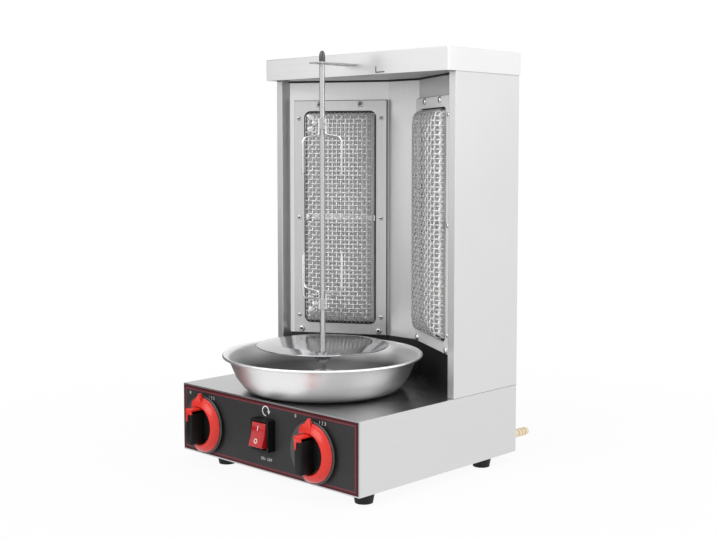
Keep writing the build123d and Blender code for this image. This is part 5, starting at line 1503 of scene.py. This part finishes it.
# ---------------------------------------------------------------- studio
@dataclass
class Studio:
    """Floor, world, lamps and camera."""

    camera_place: Point = (0.9240, -0.9470, 0.3515)
    camera_turn: float = 44.18
    camera_pitch: float = 4.1
    lens: float = 58.71
    shift_y: float = -0.05

    def build(self) -> None:
        """Set up everything round the grill."""
        self.camera()
        self.world()
        self.floor()
        self.flags()
        self.lamps()
        bpy.context.scene.view_settings.view_transform = "Standard"

    def camera(self) -> None:
        """Camera at the photograph's viewing angle."""
        data = bpy.data.cameras.new("camera")
        data.sensor_fit = "HORIZONTAL"
        data.sensor_width = 36.0
        data.lens = self.lens
        data.shift_y = self.shift_y
        data.clip_end = 50.0
        camera = bpy.data.objects.new("camera", data)
        camera.location = self.camera_place
        camera.rotation_euler = (math.radians(90.0 - self.camera_pitch), 0.0, math.radians(self.camera_turn))
        bpy.context.scene.collection.objects.link(camera)
        bpy.context.scene.camera = camera

    def seen(self, desk: Desk) -> bpy.types.NodeSocket:
        """Return 1 for rays that look at the background, straight or in metal and glass."""
        path = desk.add("ShaderNodeLightPath").outputs
        straight = desk.maths("MAXIMUM", path["Is Camera Ray"], path["Is Glossy Ray"])
        return desk.maths("MAXIMUM", straight, path["Is Transmission Ray"])

    def world(self) -> None:
        """Even light, and white where it is looked at."""
        world = bpy.data.worlds.new("studio")
        bpy.context.scene.world = world
        world.use_nodes = True
        desk = Desk(world.node_tree)
        colour = desk.blend(self.seen(desk), (0.62, 0.62, 0.63), (1.0, 1.0, 1.0))
        background = desk.add("ShaderNodeBackground", {"Color": colour, "Strength": 1.0})
        desk.add("ShaderNodeOutputWorld", {"Surface": background.outputs[0]})

    def floor(self) -> None:
        """Pale floor that keeps a soft shadow."""
        shape = Shape()
        bmesh.ops.create_grid(shape.bm, x_segments=1, y_segments=1, size=6.0)
        mesh = bpy.data.meshes.new("floor")
        shape.bm.to_mesh(mesh)
        shape.bm.free()
        floor = bpy.data.objects.new("floor", mesh)
        bpy.context.scene.collection.objects.link(floor)
        material = bpy.data.materials.new("pale_floor")
        material.use_nodes = True
        desk = Desk(material.node_tree)
        matt = desk.add("ShaderNodeBsdfDiffuse", {"Color": (0.85, 0.85, 0.85, 1.0)})
        glow = desk.add("ShaderNodeEmission", {"Color": (1.0, 1.0, 1.0, 1.0), "Strength": 1.0})
        place = desk.add("ShaderNodeTexCoord").outputs["Object"]
        away = desk.add("ShaderNodeVectorMath", {0: place}, operation="LENGTH").outputs["Value"]
        share = desk.maths("MULTIPLY", self.seen(desk), desk.remap(away, (0.25, 0.75), (0.92, 1.0)))
        mixed = desk.add("ShaderNodeMixShader", {0: share, 1: matt.outputs[0], 2: glow.outputs[0]})
        desk.add("ShaderNodeOutputMaterial", {"Surface": mixed.outputs[0]})
        mesh.materials.append(material)

    def flags(self) -> None:
        """Dark cards beside the set, seen only as soft dark bands in the steel and the panel."""
        material = bpy.data.materials.new("dark_card")
        material.use_nodes = True
        desk = Desk(material.node_tree)
        matt = desk.add("ShaderNodeBsdfDiffuse", {"Color": (0.11, 0.11, 0.11, 1.0)})
        desk.add("ShaderNodeOutputMaterial", {"Surface": matt.outputs[0]})
        for name, start, along, across in (
                ("left_flag", (-1.6, -0.95, 0.02), (0, 1.65, 0), (0, 0, 1.78)),
                ("floor_flag", (-1.6, -1.4, 0.004), (1.43, 0, 0), (0, 2.2, 0))):
            shape = Shape()
            corner = Vector(start)
            edge = shape.bm.edges.new([shape.bm.verts.new(corner), shape.bm.verts.new(corner + Vector(along))])
            out = bmesh.ops.extrude_edge_only(shape.bm, edges=[edge])["geom"]
            bmesh.ops.translate(shape.bm, vec=across, verts=shape.verts_of(out))
            mesh = bpy.data.meshes.new(name)
            shape.bm.to_mesh(mesh)
            shape.bm.free()
            mesh.materials.append(material)
            card = bpy.data.objects.new(name, mesh)
            card.visible_camera = False
            card.visible_shadow = False
            card.visible_diffuse = False
            bpy.context.scene.collection.objects.link(card)

    def lamps(self) -> None:
        """Large soft boxes."""
        for name, place, size, power in (
                ("key_box", (-0.4, -2.8, 2.3), 2.2, 42.0),
                ("side_box", (2.6, 0.9, 1.4), 2.0, 22.0),
                ("top_box", (0.0, 0.2, 2.9), 2.0, 16.0)):
            data = bpy.data.lights.new(name, "AREA")
            data.shape = "SQUARE"
            data.size = size
            data.energy = power
            lamp = bpy.data.objects.new(name, data)
            lamp.location = place
            aim = Vector((0, 0, 0.2)) - Vector(place)
            lamp.rotation_euler = aim.to_track_quat("-Z", "Y").to_euler()
            bpy.context.scene.collection.objects.link(lamp)


def main() -> None:
    """Build the scene, piece by piece."""
    Studio().build()
    Housing().build()
    burners = [Burner("left", -1), Burner("right", 1)]
    for burner in burners:
        burner.build()
    BurnerScrews(burners).build()
    Spit().build()
    Fork("lower_fork", 175.5, False).build()
    Fork("upper_fork", 387.5, True, short_arm=6.8).build()
    DripPan().build()
    for side, x in (("left", -98.5), ("right", 78.0)):
        GasKnob(side, x).build()
    RockerSwitch().build()
    FrontPanel().build()


if __name__ == "__main__":
    main()
